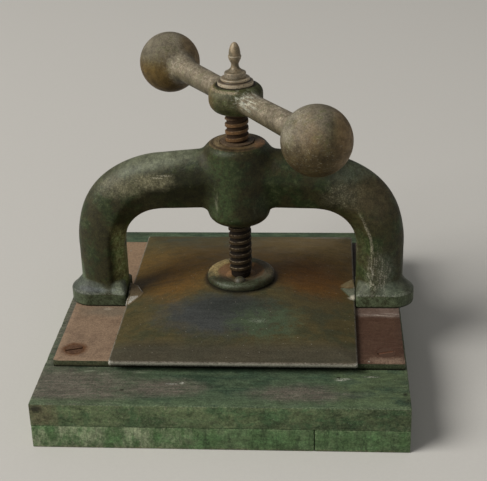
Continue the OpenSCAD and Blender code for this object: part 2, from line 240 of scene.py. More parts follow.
def slab(x, y, z, edge, seed, wear=1.0, step=3.0, corner=1.0):
    """Board or plate with worn, slightly chipped edges, which only ever lose material."""
    (x0, x1), (y0, y1), (z0, z1) = x, y, z
    corners = np.array([(x0, y0), (x1, y0), (x1, y1), (x0, y1)], float)
    outward = np.array([(0, -1), (1, 0), (0, 1), (-1, 0)], float)
    plan, out, along = [], [], []
    far = 0.0
    for k in range(4):
        start, end = corners[k], corners[(k + 1) % 4]
        length = np.linalg.norm(end - start)
        count = max(2, int(round(length / step)))
        for i in range(count):
            at_corner = i == 0
            out.append(outward[k] + (outward[k - 1] if at_corner else 0))
            plan.append(start + (end - start) * i / count - out[-1] * (0.4 * corner if at_corner else 0))
            along.append(far + length * i / count)
        far += length
    plan, out, along = np.array(plan), np.array(out), np.array(along)
    chip = np.clip(wobble(along, 9, seed) - 0.62, 0, 1) * 4 * wear
    rough = wobble(along, 4, seed + 1) * 0.35 * wear
    height = z1 - z0
    rings = []
    low_corner, high_corner = corners.min(0), corners.max(0)
    for inset, level, share in ((8, 0, 0), (edge, 0, 0.4), (0.3 * edge, 0.3 * edge, 0.4), (0, edge, 0.3),
                                (0, 0.5 * height, 0.1), (0, height - edge, 0.6),
                                (0.3 * edge, height - 0.3 * edge, 1), (edge, height, 1), (8, height, 0)):
        loss = (rough + chip) * share
        ring = np.clip(plan - out * loss[:, None], low_corner + inset, high_corner - inset)
        worn_down = 0.6 * loss if inset < edge and level > 0.5 * height else 0
        rings.append(np.column_stack([ring, np.full(len(ring), z0 + level) - worn_down]))
    n = len(plan)
    points = np.concatenate(rings)
    return points, tube_faces(len(rings), n)


def build_mesh(name, points, faces, merge=False):
    mesh = bpy.data.meshes.new(name)
    mesh.from_pydata((np.asarray(points, float) * MM).tolist(), [], [list(map(int, f)) for f in faces])
    if merge:
        work = bmesh.new()
        work.from_mesh(mesh)
        bmesh.ops.remove_doubles(work, verts=work.verts, dist=1e-6)
        bmesh.ops.dissolve_degenerate(work, edges=work.edges, dist=1e-7)
        bmesh.ops.recalc_face_normals(work, faces=work.faces)
        work.to_mesh(mesh)
        work.free()
    return mesh


def bored(mesh, cutters):
    """The mesh with closed cutter solids taken out of it."""
    obj = bpy.data.objects.new("work", mesh)
    points, faces, first = [], [], 0
    for cutter_points, cutter_faces in cutters:
        points.append(cutter_points)
        faces += [tuple(i + first for i in f) for f in cutter_faces]
        first += len(cutter_points)
    cutter = bpy.data.objects.new("cutter", build_mesh("cutter", np.concatenate(points), faces, merge=True))
    for o in (obj, cutter):
        bpy.context.scene.collection.objects.link(o)
    boolean = obj.modifiers.new("bore", "BOOLEAN")
    boolean.operation = "DIFFERENCE"
    boolean.solver = "EXACT"
    boolean.object = cutter
    bpy.context.view_layer.update()
    result = bpy.data.meshes.new_from_object(obj.evaluated_get(bpy.context.evaluated_depsgraph_get()))
    for o in (obj, cutter):
        bpy.data.objects.remove(o)
    return result


def hole(x, y, outline):
    """Cutter turned from an (r, z) outline about an upright axis at x, y."""
    points, faces = turned(outline, 40)
    return points + np.array([x, y, 0]), faces


def mark_ridges(mesh, passes=3):
    """Stores how convex the mesh is at each point, per millimetre, for wear on edges and painted shade in
    corners.
    """
    n = len(mesh.vertices)
    co = np.empty(n * 3)
    mesh.vertices.foreach_get("co", co)
    co = co.reshape(-1, 3) / MM
    normal = np.empty(n * 3)
    mesh.vertex_normals.foreach_get("vector", normal)
    normal = normal.reshape(-1, 3)
    ends = np.empty(len(mesh.edges) * 2, int)
    mesh.edges.foreach_get("vertices", ends)
    a, b = ends.reshape(-1, 2).T
    step = co[b] - co[a]
    length = np.maximum((step ** 2).sum(1), 0.04)
    bend = np.zeros(n)
    count = np.maximum(np.bincount(a, minlength=n) + np.bincount(b, minlength=n), 1)
    np.add.at(bend, a, -2 * (step * normal[a]).sum(1) / length)
    np.add.at(bend, b, 2 * (step * normal[b]).sum(1) / length)
    bend /= count
    for _ in range(passes):
        near = np.bincount(a, bend[b], n) + np.bincount(b, bend[a], n)
        bend = 0.5 * bend + 0.5 * near / count
    attribute = mesh.attributes.new("ridge", "FLOAT", "POINT")
    attribute.data.foreach_set("value", bend.astype(np.float32))


def piece(name, mesh, body, nodes, look, sharp=None):
    """Adds a finished mesh as a piece of the object, in place of CAD nodes."""
    mesh.polygons.foreach_set("use_smooth", [True] * len(mesh.polygons))
    if sharp is not None:
        mesh.set_sharp_from_angle(angle=math.radians(sharp))
    mark_ridges(mesh)
    mesh.materials.clear()
    mesh.materials.append(look)
    obj = bpy.data.objects.new(name, mesh)
    bpy.context.scene.collection.objects.link(obj)
    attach(obj, body)
    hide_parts(*nodes)
    return obj


# Forms

FOOT_HOLE_R = 6.05
FOOT_HOLE_TOP = 77.6
ARCH_CORNER_X = 81.0
ARCH_CORNER_R = HALF_SPAN - ARCH_CORNER_X
ARCH_CORNER_Z = ARCH_TOP - ARCH_CORNER_R
ARCH_QUARTER = ARCH_CORNER_R * math.pi / 2
BEAM_MID = ARCH_QUARTER + ARCH_CORNER_X - 70
BEAM_END = ARCH_QUARTER + ARCH_CORNER_X - 22
LEG_HALF_D = 23.5
FOOT_L = 64.5
FOOT_R = 25.0
FOOT_BAND_TOP = 72.5
SHOULDER_TOP = 87.5
BOSS_R = 34.0
BOSS_ROUND = (13.0, 9.0)
BOSS_FILLET = 9.0
NUT_R = 18.0
PLAY = 0.05


def crown_height(along):
    """Distance from the arch's inner line to its outer crown, along the way from the corner's start."""
    way = np.arange(-40, 160, 1.0)
    knots = [share * ARCH_QUARTER for share in (0.1, 0.28, 0.37, 0.46, 0.7, 0.91)] + [BEAM_MID, BEAM_END]
    height = np.interp(way, knots, [51.6, 54.6, 56.5, 57.9, 57.5, 58.4, 60.4, 64.5])
    soft = np.convolve(np.pad(height, 12, mode="edge"), np.ones(25) / 25, mode="valid")
    return np.interp(along, way, soft)


def casting(u, v, height, crease, flat):
    """Section of the arch: flat inside, widest at the crease, round from there to the crown."""
    reach = height - crease
    a, b = np.maximum(u - crease, 0) / reach, v / LEG_HALF_D
    size = np.maximum(np.hypot(a, b), 1e-6)
    slope = np.maximum(np.hypot(a / reach, b / LEG_HALF_D), 1e-6)
    crown = size * (size - 1) / slope
    nx, ny = flat / 2 - LEG_HALF_D, crease - 1.5
    norm = np.hypot(nx, ny)
    side = ((u - crease) * nx + (v - LEG_HALF_D) * ny) / norm
    return smooth_max(smooth_max(crown, side, 1.3), -u, 3.0)


def foot_plan(x, v):
    """Foot seen from above: a flat inner side and a round outer end."""
    end = HALF_SPAN + FOOT_L - FOOT_R
    return smooth_max(np.hypot(np.maximum(x - end, 0), v) - FOOT_R, HALF_SPAN - x, 2.5)


def arch_field(x, y, z):
    """Two legs and a beam in one sweep, feet spreading from the legs, and the boss with the nut's bore."""
    r = np.hypot(x, y)
    x, v = np.abs(x), np.abs(y)
    rx, rz = x - ARCH_CORNER_X, z - ARCH_CORNER_Z
    u = np.hypot(np.maximum(rx, 0), np.maximum(rz, 0)) + np.minimum(np.maximum(rx, rz), 0) - ARCH_CORNER_R
    turn = np.arctan2(np.maximum(rz, 0), np.maximum(rx, 1e-6)) * ARCH_CORNER_R
    along = np.where(rz < 0, rz, np.where(rx < 0, ARCH_QUARTER - rx, turn))
    crease = np.interp(along, [0.3 * ARCH_QUARTER, 0.9 * ARCH_QUARTER, BEAM_END], [16, 27, 34])
    flat = np.interp(along, [0.3 * ARCH_QUARTER, 0.9 * ARCH_QUARTER, BEAM_END], [20, 32, 25])
    arch = casting(u, v, crown_height(along), crease, flat)
    foot = foot_plan(x, v)
    rise = np.clip((z - FOOT_BAND_TOP) / (SHOULDER_TOP - FOOT_BAND_TOP), 0, 1)
    spread = (1 - rise) ** 1.35
    shoulder = np.where(rise < 1, foot * spread + arch * (1 - spread), arch)
    shoulder = np.where(z < FOOT_BAND_TOP, foot, shoulder)
    arch = np.where(z < SHOULDER_TOP, shoulder, arch)
    arch = smooth_max(arch, BED_TOP - z, 1.2)
    boss = drum(r, z, BOSS_R, BOSS_BOTTOM, BOSS_TOP, *BOSS_ROUND)
    whole = smooth_min(arch, boss, BOSS_FILLET)
    bore = r - NUT_R - PLAY
    bolt = np.maximum(np.hypot(x - ARCH_BOLT_X, y) - FOOT_HOLE_R, z - FOOT_HOLE_TOP)
    return smooth_max(smooth_max(whole, -bore, 0.6), -bolt, 0.3)


PLATEN_HALF_W = 127.0
PLATEN_HALF_D = 152.0
SEAT_R = 39.0
POCKET_R = 13.5
POCKET_FLOOR = 65.8
COLLAR_BOLT_Y = 21.5
COLLAR_BOLT_R = 4.0
COLLAR_BOLT_FLOOR = 70.8


def platen_height(x, y):
    """Top of the shallow pyramid: the hull of the edge slab and the round seat."""
    low, high = np.zeros_like(x), np.ones_like(x)
    for _ in range(16):
        t = (low + high) / 2
        dx = np.maximum(np.abs(x) - t * PLATEN_HALF_W, 0)
        dy = np.maximum(np.abs(y) - t * PLATEN_HALF_D, 0)
        inside = np.hypot(dx, dy) <= (1 - t) * SEAT_R
        high, low = np.where(inside, t, high), np.where(inside, low, t)
    return SEAT_TOP + (PLATEN_EDGE_TOP - SEAT_TOP) * high


LUG_FACES = [(0, 1, 2), (0, 3, 1), (0, 4, 3), (0, 2, 4), (2, 1, 5), (2, 5, 4), (3, 4, 5), (1, 3, 5)]


def lug(x, y, z):
    """Guide lug on the right-hand edge: steep in front, sloping away behind."""
    root, outer = PLATEN_EDGE_TOP - 1.5, HALF_SPAN - 0.5
    corners = [(outer, -18, root), (outer, 37, root + 2), (outer - 18.5, 11, root + 4.4),
               (outer, -5.7, root + 11.5), (outer - 10, -2, root + 9.4), (outer - 2.5, 22, root + 8.2)]
    return facets(x, y, z, corners, LUG_FACES, 0.45)


def platen_field(x, y, z):
    """Shallow pyramid with two lugs, the pocket of the screw's foot and the holes of the collar's bolts."""
    slope_share = 0.975
    top = (z - platen_height(x, y)) * slope_share
    rim = smooth_max(np.abs(x) - PLATEN_HALF_W, np.abs(y) - PLATEN_HALF_D, 3.0)
    plate = smooth_max(smooth_max(top, rim, 1.6), PLATEN_UNDER - z, 0.6)
    for sign in (1, -1):
        plate = smooth_min(plate, lug(sign * x, sign * y, z), 1.0)
    plate = np.maximum(plate, -np.maximum(np.hypot(x, y) - POCKET_R, POCKET_FLOOR - z))
    for sign in (1, -1):
        way = np.hypot(x, y - sign * COLLAR_BOLT_Y)
        plate = np.maximum(plate, -np.maximum(way - COLLAR_BOLT_R, COLLAR_BOLT_FLOOR - z))
    return plate


COLLAR_R = 37.5
COLLAR_TOP = 91.4
COLLAR_EDGE = 4.0
COLLAR_ROUND = 4.3
COLLAR_CREST = ((17, 24.5, 28.5, 33.2), (3.5, 6.7, 8.3, 8.3))
SPOT_FACE_R = 8.5
SPOT_FACE_RISE = 6.6
BOLT_SEAT_R = 7.4
NECK_HOLE_R = 8.7
SPLIT_HALF = 0.2


def collar_field(x, y, z):
    """Swivel collar: upright wall, round shoulder, crest dipping to a sunk floor, seats for its two bolts."""
    r = np.hypot(x, y)
    up = z - SEAT_TOP
    crest_end = COLLAR_CREST[0][-1]
    shoulder = np.hypot(np.maximum(r - crest_end, 0), np.maximum(up - COLLAR_EDGE, 0)) - COLLAR_ROUND
    ring = np.where(up > COLLAR_EDGE, shoulder, r - COLLAR_R)
    ring = smooth_max(ring, (up - np.interp(r, *COLLAR_CREST)) * 0.93, 0.9)
    ring = smooth_max(ring, -up, 0.4)
    for sign in (1, -1):
        way = np.hypot(x, y - sign * COLLAR_BOLT_Y)
        seat = smooth_max(way - BOLT_SEAT_R, up - SPOT_FACE_RISE, 0.6)
        ring = smooth_min(ring, np.maximum(seat, -up), 0.9)
        ring = smooth_max(ring, -np.maximum(way - SPOT_FACE_R, SPOT_FACE_RISE - up), 0.6)
        ring = np.maximum(ring, COLLAR_BOLT_R + PLAY - way)
    return smooth_max(ring, NECK_HOLE_R - r, 0.4)


def collar_half(side):
    """The field and the box of the front (-1) or rear (1) half of the collar."""
    def field(x, y, z):
        return np.maximum(collar_field(x, y, z), SPLIT_HALF - side * y)
    ends = sorted((SPLIT_HALF * side, COLLAR_R * side))
    return field, (-COLLAR_R, ends[0], SEAT_TOP), (COLLAR_R, ends[1], COLLAR_TOP)


HUB_R = 28.75
HUB_ROUND = (14.0, 9.5)
ARM_RADII = ((12, 112, 127.5, 134), (11.8, 13.0, 17.2, 19.0))
ARM_END = 140.0
BALL_REACH = 157.0
BALL_R = 34.5
SQUARE_HALF = 8.0
SQUARE_CORNER_R = 10.8
SQUARE_PLAY = 0.1


def handle_field(x, y, z):
    """Hub with its square hole, two arms and two balls, with the arms along X."""
    hub = drum(np.hypot(x, y), z, HUB_R, HUB_BOTTOM, HUB_TOP, *HUB_ROUND)
    far = np.abs(x)
    across = np.hypot(y, z - ARM_Z)
    arm = smooth_max((across - np.interp(far, *ARM_RADII)) * 0.96, far - ARM_END, 1.0)
    ball = np.sqrt((far - BALL_REACH) ** 2 + across ** 2) - BALL_R
    whole = smooth_min(smooth_min(hub, arm, 7.0), ball, 5.0)
    square = np.maximum(np.abs(x), np.abs(y)) - (SQUARE_HALF + SQUARE_PLAY)
    return np.maximum(whole, -square)


def handle_mesh():
    """The field is worked out along the arms, and the mesh is then turned to where the handle stands."""
    low = (-BALL_REACH - BALL_R, -BALL_R, ARM_Z - BALL_R)
    high = (BALL_REACH + BALL_R, BALL_R, ARM_Z + BALL_R + 0.1)
    points, faces = surface(handle_field, low, high, 1.5)
    c, s = math.cos(HANDLE_ANGLE), math.sin(HANDLE_ANGLE)
    turn = np.array([[c, s, 0], [-s, c, 0], [0, 0, 1]])
    return points @ turn, faces


FLANGE_BOTTOM = 69.9
FLANGE_TOP = 82.5
THREAD_BOTTOM = 87.8
THREAD_TOP = 275.0
SHOULDER_END = 277.9
SQUARE_END = 307.9
PITCH = 8.0
CREST_R = 12.7
ROOT_R = 10.8
NECK_R = 8.5


def thread_radius(z, a):
    """Radius of the thread at a height and an angle, with rounded and bruised crests and faded ends."""
    phase = ((z - THREAD_BOTTOM) / PITCH - a / (2 * math.pi)) % 1
    crest = np.clip((0.27 - np.abs(phase - 0.5)) / 0.07, 0, 1)
    crest = crest * crest * (3 - 2 * crest)
    ends = np.clip((z - THREAD_BOTTOM - 3) / 4, 0, 1) * np.clip((THREAD_TOP - 1 - z) / 3, 0, 1)
    bruise = 0.25 * wobble(a * 40 + z * 7.3, 5, 11) * crest
    return ROOT_R + (CREST_R - ROOT_R) * crest * ends - bruise * ends


def spindle_mesh(columns=80):
    """The whole spindle as rings of points whose radius follows its steps and its thread."""
    angle = np.arange(columns) * 2 * math.pi / columns
    levels = np.concatenate([
        [FLANGE_BOTTOM, 70.4, 70.9], np.arange(74, 82, 2), [82.0, FLANGE_TOP, 82.52, 82.6],
        np.arange(84, THREAD_BOTTOM, 1.5), np.arange(THREAD_BOTTOM, THREAD_TOP, 0.42),
        [THREAD_TOP, 276, 277.4, SHOULDER_END, 277.92, 290, SQUARE_END, 307.92, 309, 320.4, STUD_TOP]])
    z, a = np.meshgrid(levels, angle, indexing="ij")
    square = SQUARE_HALF / np.maximum(np.abs(np.cos(a - HANDLE_ANGLE)), np.abs(np.sin(a - HANDLE_ANGLE)))
    steps = ((70.2, 11.8), (82.2, 12.2), (82.51, 11.8), (THREAD_BOTTOM, NECK_R),
             (THREAD_TOP, thread_radius(z, a)), (277.91, 11.6),
             (307.91, np.minimum(square, SQUARE_CORNER_R)), (320.8, 5.4))
    radius = np.select([z < top for top, _ in steps], [r for _, r in steps], 5.0)
    points = np.stack([radius * np.cos(a), radius * np.sin(a), z], 2).reshape(-1, 3)
    return points, tube_faces(len(levels), columns)


def raised(outline, z):
    """The outline's (r, height) points above a level."""
    return [(r, z + height) for r, height in outline]


def cap_outline():
    return eased(raised([(5.7, 0), (18.8, 0), (18.8, 4), (16.2, 4.3), (15.5, 5), (15.5, 7.1), (14.6, 7.6),
                         (5.7, 7.6)], HUB_TOP), 0.7)


def finial_outline():
    """Foot, waist and collar of the finial, an acorn of an ellipse's arc, and the bore of its thread."""
    neck = raised([(5.6, 0), (11.4, 0), (11.4, 5), (10.9, 5.8), (8.6, 6.5), (5.5, 9.2), (4.4, 10.8),
                   (3.9, 13.5), (4.2, 15.1), (5.1, 16.9), (6.3, 19.4), (6.9, 21.7), (6.9, 23.1),
                   (6.2, 23.3)], CAP_TOP)
    arc = np.radians([12, 24, 36, 48, 58, 67, 75, 82])
    acorn = raised([(6.2 * math.cos(t), 13.7 * math.sin(t)) for t in arc], CAP_TOP + 23.3)
    bore = [(0, CAP_TOP + 37), (0, STUD_TOP + 0.1), (5.6, STUD_TOP + 0.1)]
    return eased(neck, 0.5, 2)[:-1] + [np.array(p) for p in acorn + bore]


BOLT_HOLE_R = 6.5
BOLT_HEAD_HOLE = (15, 13)
BASE_SCREW_EDGE = 22
BASE_SCREW_HOLE_R = 2.1
BED_SCREW_HOLE_R = 3.6


def shaft_hole(x, y, radius, low, high):
    """Cutter for a plain round hole between two levels."""
    return hole(x, y, [(0, low), (radius, low), (radius, high), (0, high)])


def base_holes(x_range, top):
    """Cutters for the bolts and screws that come up through the top board or through a lower one."""
    head_r, head_top = BOLT_HEAD_HOLE
    screw_r = BASE_SCREW_HOLE_R
    bolt_head = [(0, -2), (head_r, -2), (head_r, head_top), (BOLT_HOLE_R, head_top), (BOLT_HOLE_R, 30),
                 (0, 30)]
    screw_head = [(0, -2), (4.7, -2), (4.7, 0), (screw_r, 2.6), (screw_r, 30), (0, 30)]
    cutters = []
    for x in (-ARCH_BOLT_X, ARCH_BOLT_X):
        if x_range[0] < x < x_range[1]:
            cutters.append(shaft_hole(x, 0, BOLT_HOLE_R, 20, 55) if top else hole(x, 0, bolt_head))
    for x in (BASE_X[0] + BASE_SCREW_EDGE, (BASE_X[0] + BUTT_JOINT_X) / 2, BUTT_JOINT_X - BASE_SCREW_EDGE,
              BUTT_JOINT_X + BASE_SCREW_EDGE, BASE_X[1] - BASE_SCREW_EDGE):
        for y in (BASE_Y[0] + BASE_SCREW_EDGE, BASE_Y[1] - BASE_SCREW_EDGE):
            if x_range[0] < x < x_range[1]:
                cutters.append(shaft_hole(x, y, screw_r, 20, 42.2) if top else hole(x, y, screw_head))
    if top:
        cutters += [shaft_hole(x, y, BED_SCREW_HOLE_R, 25.2, 55) for x in BED_SCREWS_X for y in BED_SCREWS_Y]
    return cutters


def bed_holes():
    """Cutters for the arch bolts and the countersunk corner screws."""
    cutters = [shaft_hole(x, 0, BOLT_HOLE_R, 45, 60) for x in (-ARCH_BOLT_X, ARCH_BOLT_X)]
    screw = [(0, 45), (BED_SCREW_HOLE_R, 45), (BED_SCREW_HOLE_R, 51.3), (9.75, 57.45), (9.75, 60), (0, 60)]
    return cutters + [hole(x, y, screw) for x in BED_SCREWS_X for y in BED_SCREWS_Y]


# Materials

SEED_SHIFTS = (7.3, 3.1, 5.7)


class Value:
    """A number that varies over a surface. Sums, products and ramps of it add nodes to its look."""

    def __init__(self, look, socket):
        self.look = look
        self.socket = socket

    def __add__(self, other):
        return self.look.math("ADD", self, other)

    def __radd__(self, other):
        return self.look.math("ADD", other, self)

    def __mul__(self, other):
        return self.look.math("MULTIPLY", self, other)

    def __abs__(self):
        return self.look.math("ABSOLUTE", self)

    def span(self, low, high, start=0.0, end=1.0):
        """Goes smoothly from start to end while the value goes from low to high."""
        node = self.look.add("ShaderNodeMapRange", interpolation_type="SMOOTHSTEP", clamp=True)
        return self.look.fed(node, self, low, high, start, end)

    def band(self, low, high, soft):
        """1 between two values and 0 outside them, with soft ends."""
        return self.span(low - soft, low + soft) * self.span(high + soft, high - soft)


class Look:
    """A procedural material. Places and sizes are in millimetres of the part's frame."""

    def __init__(self, name, **constants):
        self.material = bpy.data.materials.new(name)
        self.material.use_nodes = True
        self.tree = self.material.node_tree
        self.tree.nodes.clear()
        self.shader = self.add("ShaderNodeBsdfPrincipled")
        self.tree.links.new(self.shader.outputs[0], self.add("ShaderNodeOutputMaterial").inputs[0])
        for key, value in constants.items():
            self.shader.inputs[key.replace("_", " ")].default_value = value
        coords = self.add("ShaderNodeTexCoord")
        self.place = self.vector("SCALE", coords.outputs["Object"], scale=1 / MM)
        self.x, self.y, self.z = self.parts(self.place)
        self.east, self.north, self.up = self.parts(coords.outputs["Normal"])
        self.colour = None

    def add(self, kind, **settings):
        node = self.tree.nodes.new(kind)
        for key, value in settings.items():
            setattr(node, key, value)
        return node

    def put(self, socket, value):
        """Links a value to a node's input, or sets the input to a constant."""
        if isinstance(value, Value):
            value = value.socket
        if isinstance(value, bpy.types.NodeSocket):
            self.tree.links.new(value, socket)
        elif socket.type == "RGBA":
            socket.default_value = (*value, 1)
        else:
            socket.default_value = value

    def fed(self, node, *inputs):
        """The node's result for its first inputs."""
        for socket, value in zip(node.inputs, inputs):
            self.put(socket, value)
        return Value(self, node.outputs[0])

    def math(self, operation, a, b=0):
        return self.fed(self.add("ShaderNodeMath", operation=operation), a, b)

    def vector(self, operation, *inputs, scale=None, output=0):
        node = self.add("ShaderNodeVectorMath", operation=operation)
        self.fed(node, *inputs)
        if scale is not None:
            self.put(node.inputs["Scale"], scale)
        return node.outputs[output]

    def parts(self, vector):
        """The three numbers of a vector."""
        node = self.add("ShaderNodeSeparateXYZ")
        self.put(node.inputs[0], vector)
        return [Value(self, socket) for socket in node.outputs]

    def most(self, a, b):
        return self.math("MAXIMUM", a, b)

    def away(self):
        """Distance from the screw's axis."""
        return self.math("SQRT", self.x * self.x + self.y * self.y)

    def mapped(self, size, seed, stretch, turn=0.0):
        """The place counted in cells of a size, stretched along axes that may be turned about Z."""
        node = self.add("ShaderNodeMapping", vector_type="TEXTURE")
        cell = [size * s for s in stretch]
        node.inputs["Scale"].default_value = cell
        node.inputs["Rotation"].default_value = (0, 0, turn)
        node.inputs["Location"].default_value = [-shift * seed * c for shift, c in zip(SEED_SHIFTS, cell)]
        return self.fed(node, self.place)

    def noise(self, size, seed=0, detail=4, rough=0.6, stretch=(1, 1, 1), warp=0.0, turn=0.0):
        node = self.add("ShaderNodeTexNoise")
        self.put(node.inputs["Vector"], self.mapped(size, seed, stretch, turn))
        for key, value in (("Scale", 1), ("Detail", detail), ("Roughness", rough), ("Distortion", warp)):
            node.inputs[key].default_value = value
        return Value(self, node.outputs[0])

    def spots(self, size, seed=0, radius=0.3, soft=0.12):
        """Separate round flecks, about one in each cell of the given size."""
        node = self.add("ShaderNodeTexVoronoi", feature="F1")
        self.put(node.inputs["Vector"], self.mapped(size, seed, (1, 1, 1)))
        node.inputs["Scale"].default_value = 1
        return Value(self, node.outputs["Distance"]).span(radius + soft, radius - soft)

    def near(self, centre, reach, soft=0.5, ragged=0.0, seed=0, grain_size=None):
        """1 inside an ellipsoid about a place, falling to 0 outside, with a border broken up by noise."""
        way = self.vector("DIVIDE", self.vector("SUBTRACT", self.place, centre), reach)
        distance = Value(self, self.vector("LENGTH", way, output="Value"))
        if ragged:
            grain = self.noise(grain_size or min(reach) * 0.5, seed + 3, 5, 0.65)
            distance = distance + self.math("SUBTRACT", grain, 0.5) * (ragged * 2)
        return distance.span(1 + soft, 1 - soft)

    def ridge(self, low, high):
        """How convex the mesh is, as marked by mark_ridges: positive on edges, negative in corners."""
        node = self.add("ShaderNodeAttribute", attribute_name="ridge", attribute_type="GEOMETRY")
        return Value(self, node.outputs["Fac"]).span(low, high)

    def base(self, colour):
        """The lowest colour, like every colour in thousandths of full light."""
        self.colour = [c / 1000 for c in colour]

    def layer(self, colour, *shares):
        """A coat over the colour so far, as thick as the product of its shares."""
        share = math.prod(shares[1:], start=shares[0])
        node = self.add("ShaderNodeMix", data_type="RGBA")
        self.put(node.inputs[0], share)
        self.put(node.inputs[6], self.colour)
        self.put(node.inputs[7], [c / 1000 for c in colour])
        self.colour = node.outputs[2]

    def shade(self, factor):
        """The colour so far made lighter or darker by a factor."""
        self.colour = self.vector("SCALE", self.colour, scale=factor)

    def done(self, roughness, height):
        """The material, with its roughness and a bump height in millimetres."""
        self.put(self.shader.inputs["Base Color"], self.colour)
        self.put(self.shader.inputs["Roughness"], roughness)
        bump = self.add("ShaderNodeBump")
        bump.inputs["Strength"].default_value = 1.0
        bump.inputs["Distance"].default_value = MM
        self.put(bump.inputs["Height"], height)
        self.tree.links.new(bump.outputs[0], self.shader.inputs["Normal"])
        return self.material


def wood_sides(look, grit, cloud, broad, strokes, left):
    """Olive coat on the sides of the upper layer."""
    look.base((82, 110, 52))
    look.layer((34, 56, 24), broad.span(0.46, 0.6))
    look.layer((50, 100, 42), cloud.span(0.48, 0.62), look.x.span(-80, 60, 0.3, 0.8))
    look.layer((130, 132, 86), grit.span(0.5, 0.66), left.span(0, 1, 0.3, 0.6))
    look.layer((40, 78, 34), strokes.span(0.5, 0.6), 0.7)
    look.layer((90, 70, 40), look.near((-185, -214, 38), (16, 9, 16), 0.7, 0.9, 12, 7), 0.6)
    look.layer((26, 36, 16), cloud.span(0.45, 0.34), 0.7)
    look.shade(look.x.span(0, 170, 1.16, 0.8))


def wood_top(look, grit, cloud, broad, brushed, top):
    """Greyed top, scuffed to bare wood near the left and front edges."""
    look.layer((56, 84, 50), top, 0.9)
    look.layer((32, 56, 34), top, broad.span(0.46, 0.58), 0.85)
    for place, reach, seed in (((-158, -184, 50), (58, 36, 20), 2), ((-64, -181, 50), (34, 15, 20), 4),
                               ((70, -189, 50), (44, 15, 20), 5), ((-180, 40, 50), (20, 190, 20), 6)):
        look.layer((112, 100, 80), top, look.near(place, reach, 0.6, 0.6, seed, 14),
                   (brushed * 0.5 + grit * 0.5).span(0.4, 0.54, 0.45, 1))
    look.layer((86, 116, 58), top, look.x.span(90, 120), cloud.span(0.36, 0.58), 0.75)
    look.layer((72, 106, 56), top, look.y.span(-196, -209), cloud.span(0.34, 0.55), 0.8)


def wood_lower_layer(look, cloud, strokes, hatch, drips, low, left):
    """Vivid coat of the lower layer, with dark runs and pale scrubbed patches."""
    look.layer((60, 104, 42), low)
    look.layer((80, 158, 62), low, cloud.span(0.42, 0.64), 0.8)
    look.layer((30, 56, 22), low, drips.span(0.52, 0.36), look.x.span(-140, 60, 0.4, 0.8))
    pale = strokes.span(0.4, 0.62) * hatch.span(0.34, 0.6, 0.5, 1) * left.span(0, 1, 0.15, 1)
    look.layer((225, 255, 160), low, pale, 0.9)


def painted_wood():
    """Green paint brushed over boards: greyed on top, olive on the sides, vivid on the lower layer."""
    look = Look("painted_wood", Specular_IOR_Level=0.22)
    fine = look.noise(1.9, 1, 6, 0.8)
    grit = look.noise(4, 6, 6, 0.8)
    cloud = look.noise(15, 12, 5, 0.7, (1.6, 1, 0.7))
    broad = look.noise(34, 2, 6, 0.7, (1.8, 0.7, 1))
    brushed = look.noise(3.2, 3, 6, 0.75, (9, 0.8, 0.8), 0.3)
    strokes = look.noise(17, 9, 5, 0.68, (1, 1, 2), 0.5)
    hatch = look.noise(2.2, 14, 4, 0.7, (1, 1, 7), 0.3)
    drips = look.noise(8, 15, 5, 0.7, (0.7, 1, 4), 0.3)
    top = look.up.span(0.6, 0.9)
    low = (look.z + strokes * 5).span(29.2, 26.6)
    left = (look.x + cloud * 60).span(60, -60)
    wood_sides(look, grit, cloud, broad, strokes, left)
    wood_top(look, grit, cloud, broad, brushed, top)
    wood_lower_layer(look, cloud, strokes, hatch, drips, low, left)
    look.layer((130, 110, 70), look.z.span(3.5, 0.5), grit.span(0.44, 0.56), 0.7)
    look.layer((200, 200, 140), look.ridge(0.05, 0.5), fine.span(0.44, 0.6), 0.7)
    look.layer((12, 12, 7), look.spots(19, 4, 0.11, 0.05), cloud.span(0.46, 0.6), 0.8)
    look.layer((12, 11, 7), look.near((-190, -214, 45), (7, 6, 3.2), 0.6, 0.9, 2), 0.85)
    for place, reach in (((112, -160, 50), (8, 1, 3)), ((110, -163, 50), (5, 0.7, 3)),
                         ((141, -155.5, 50), (7, 1, 3)), ((-49, -171, 50), (2.2, 1.8, 3)),
                         ((-60, -173, 50), (6, 1, 3))):
        look.layer((340, 340, 300), look.near(place, reach, 0.6, 0.9, 3), fine.span(0.4, 0.55), 0.85)
    look.layer((150, 165, 120), look.near((-120, -150, 50), (44, 6, 4), 0.5, 0.5, 8),
               brushed.span(0.52, 0.62))
    look.layer((260, 260, 220), look.spots(4.5, 5, 0.1, 0.06), cloud.span(0.48, 0.62), 0.5)
    look.shade(fine.span(0.22, 0.78, 0.38, 1.66))
    look.shade(1 + brushed.span(0.28, 0.72, -0.24, 0.28) * top.span(0, 1, 0.4, 1))
    look.shade(look.noise(8, 16, 6, 0.75, (1.6, 1, 1)).span(0.3, 0.7, 0.72, 1.34))
    height = fine * 0.22 + grit * 0.25 + strokes * 0.35
    return look.done(cloud.span(0.35, 0.65, 0.78, 0.56), height)


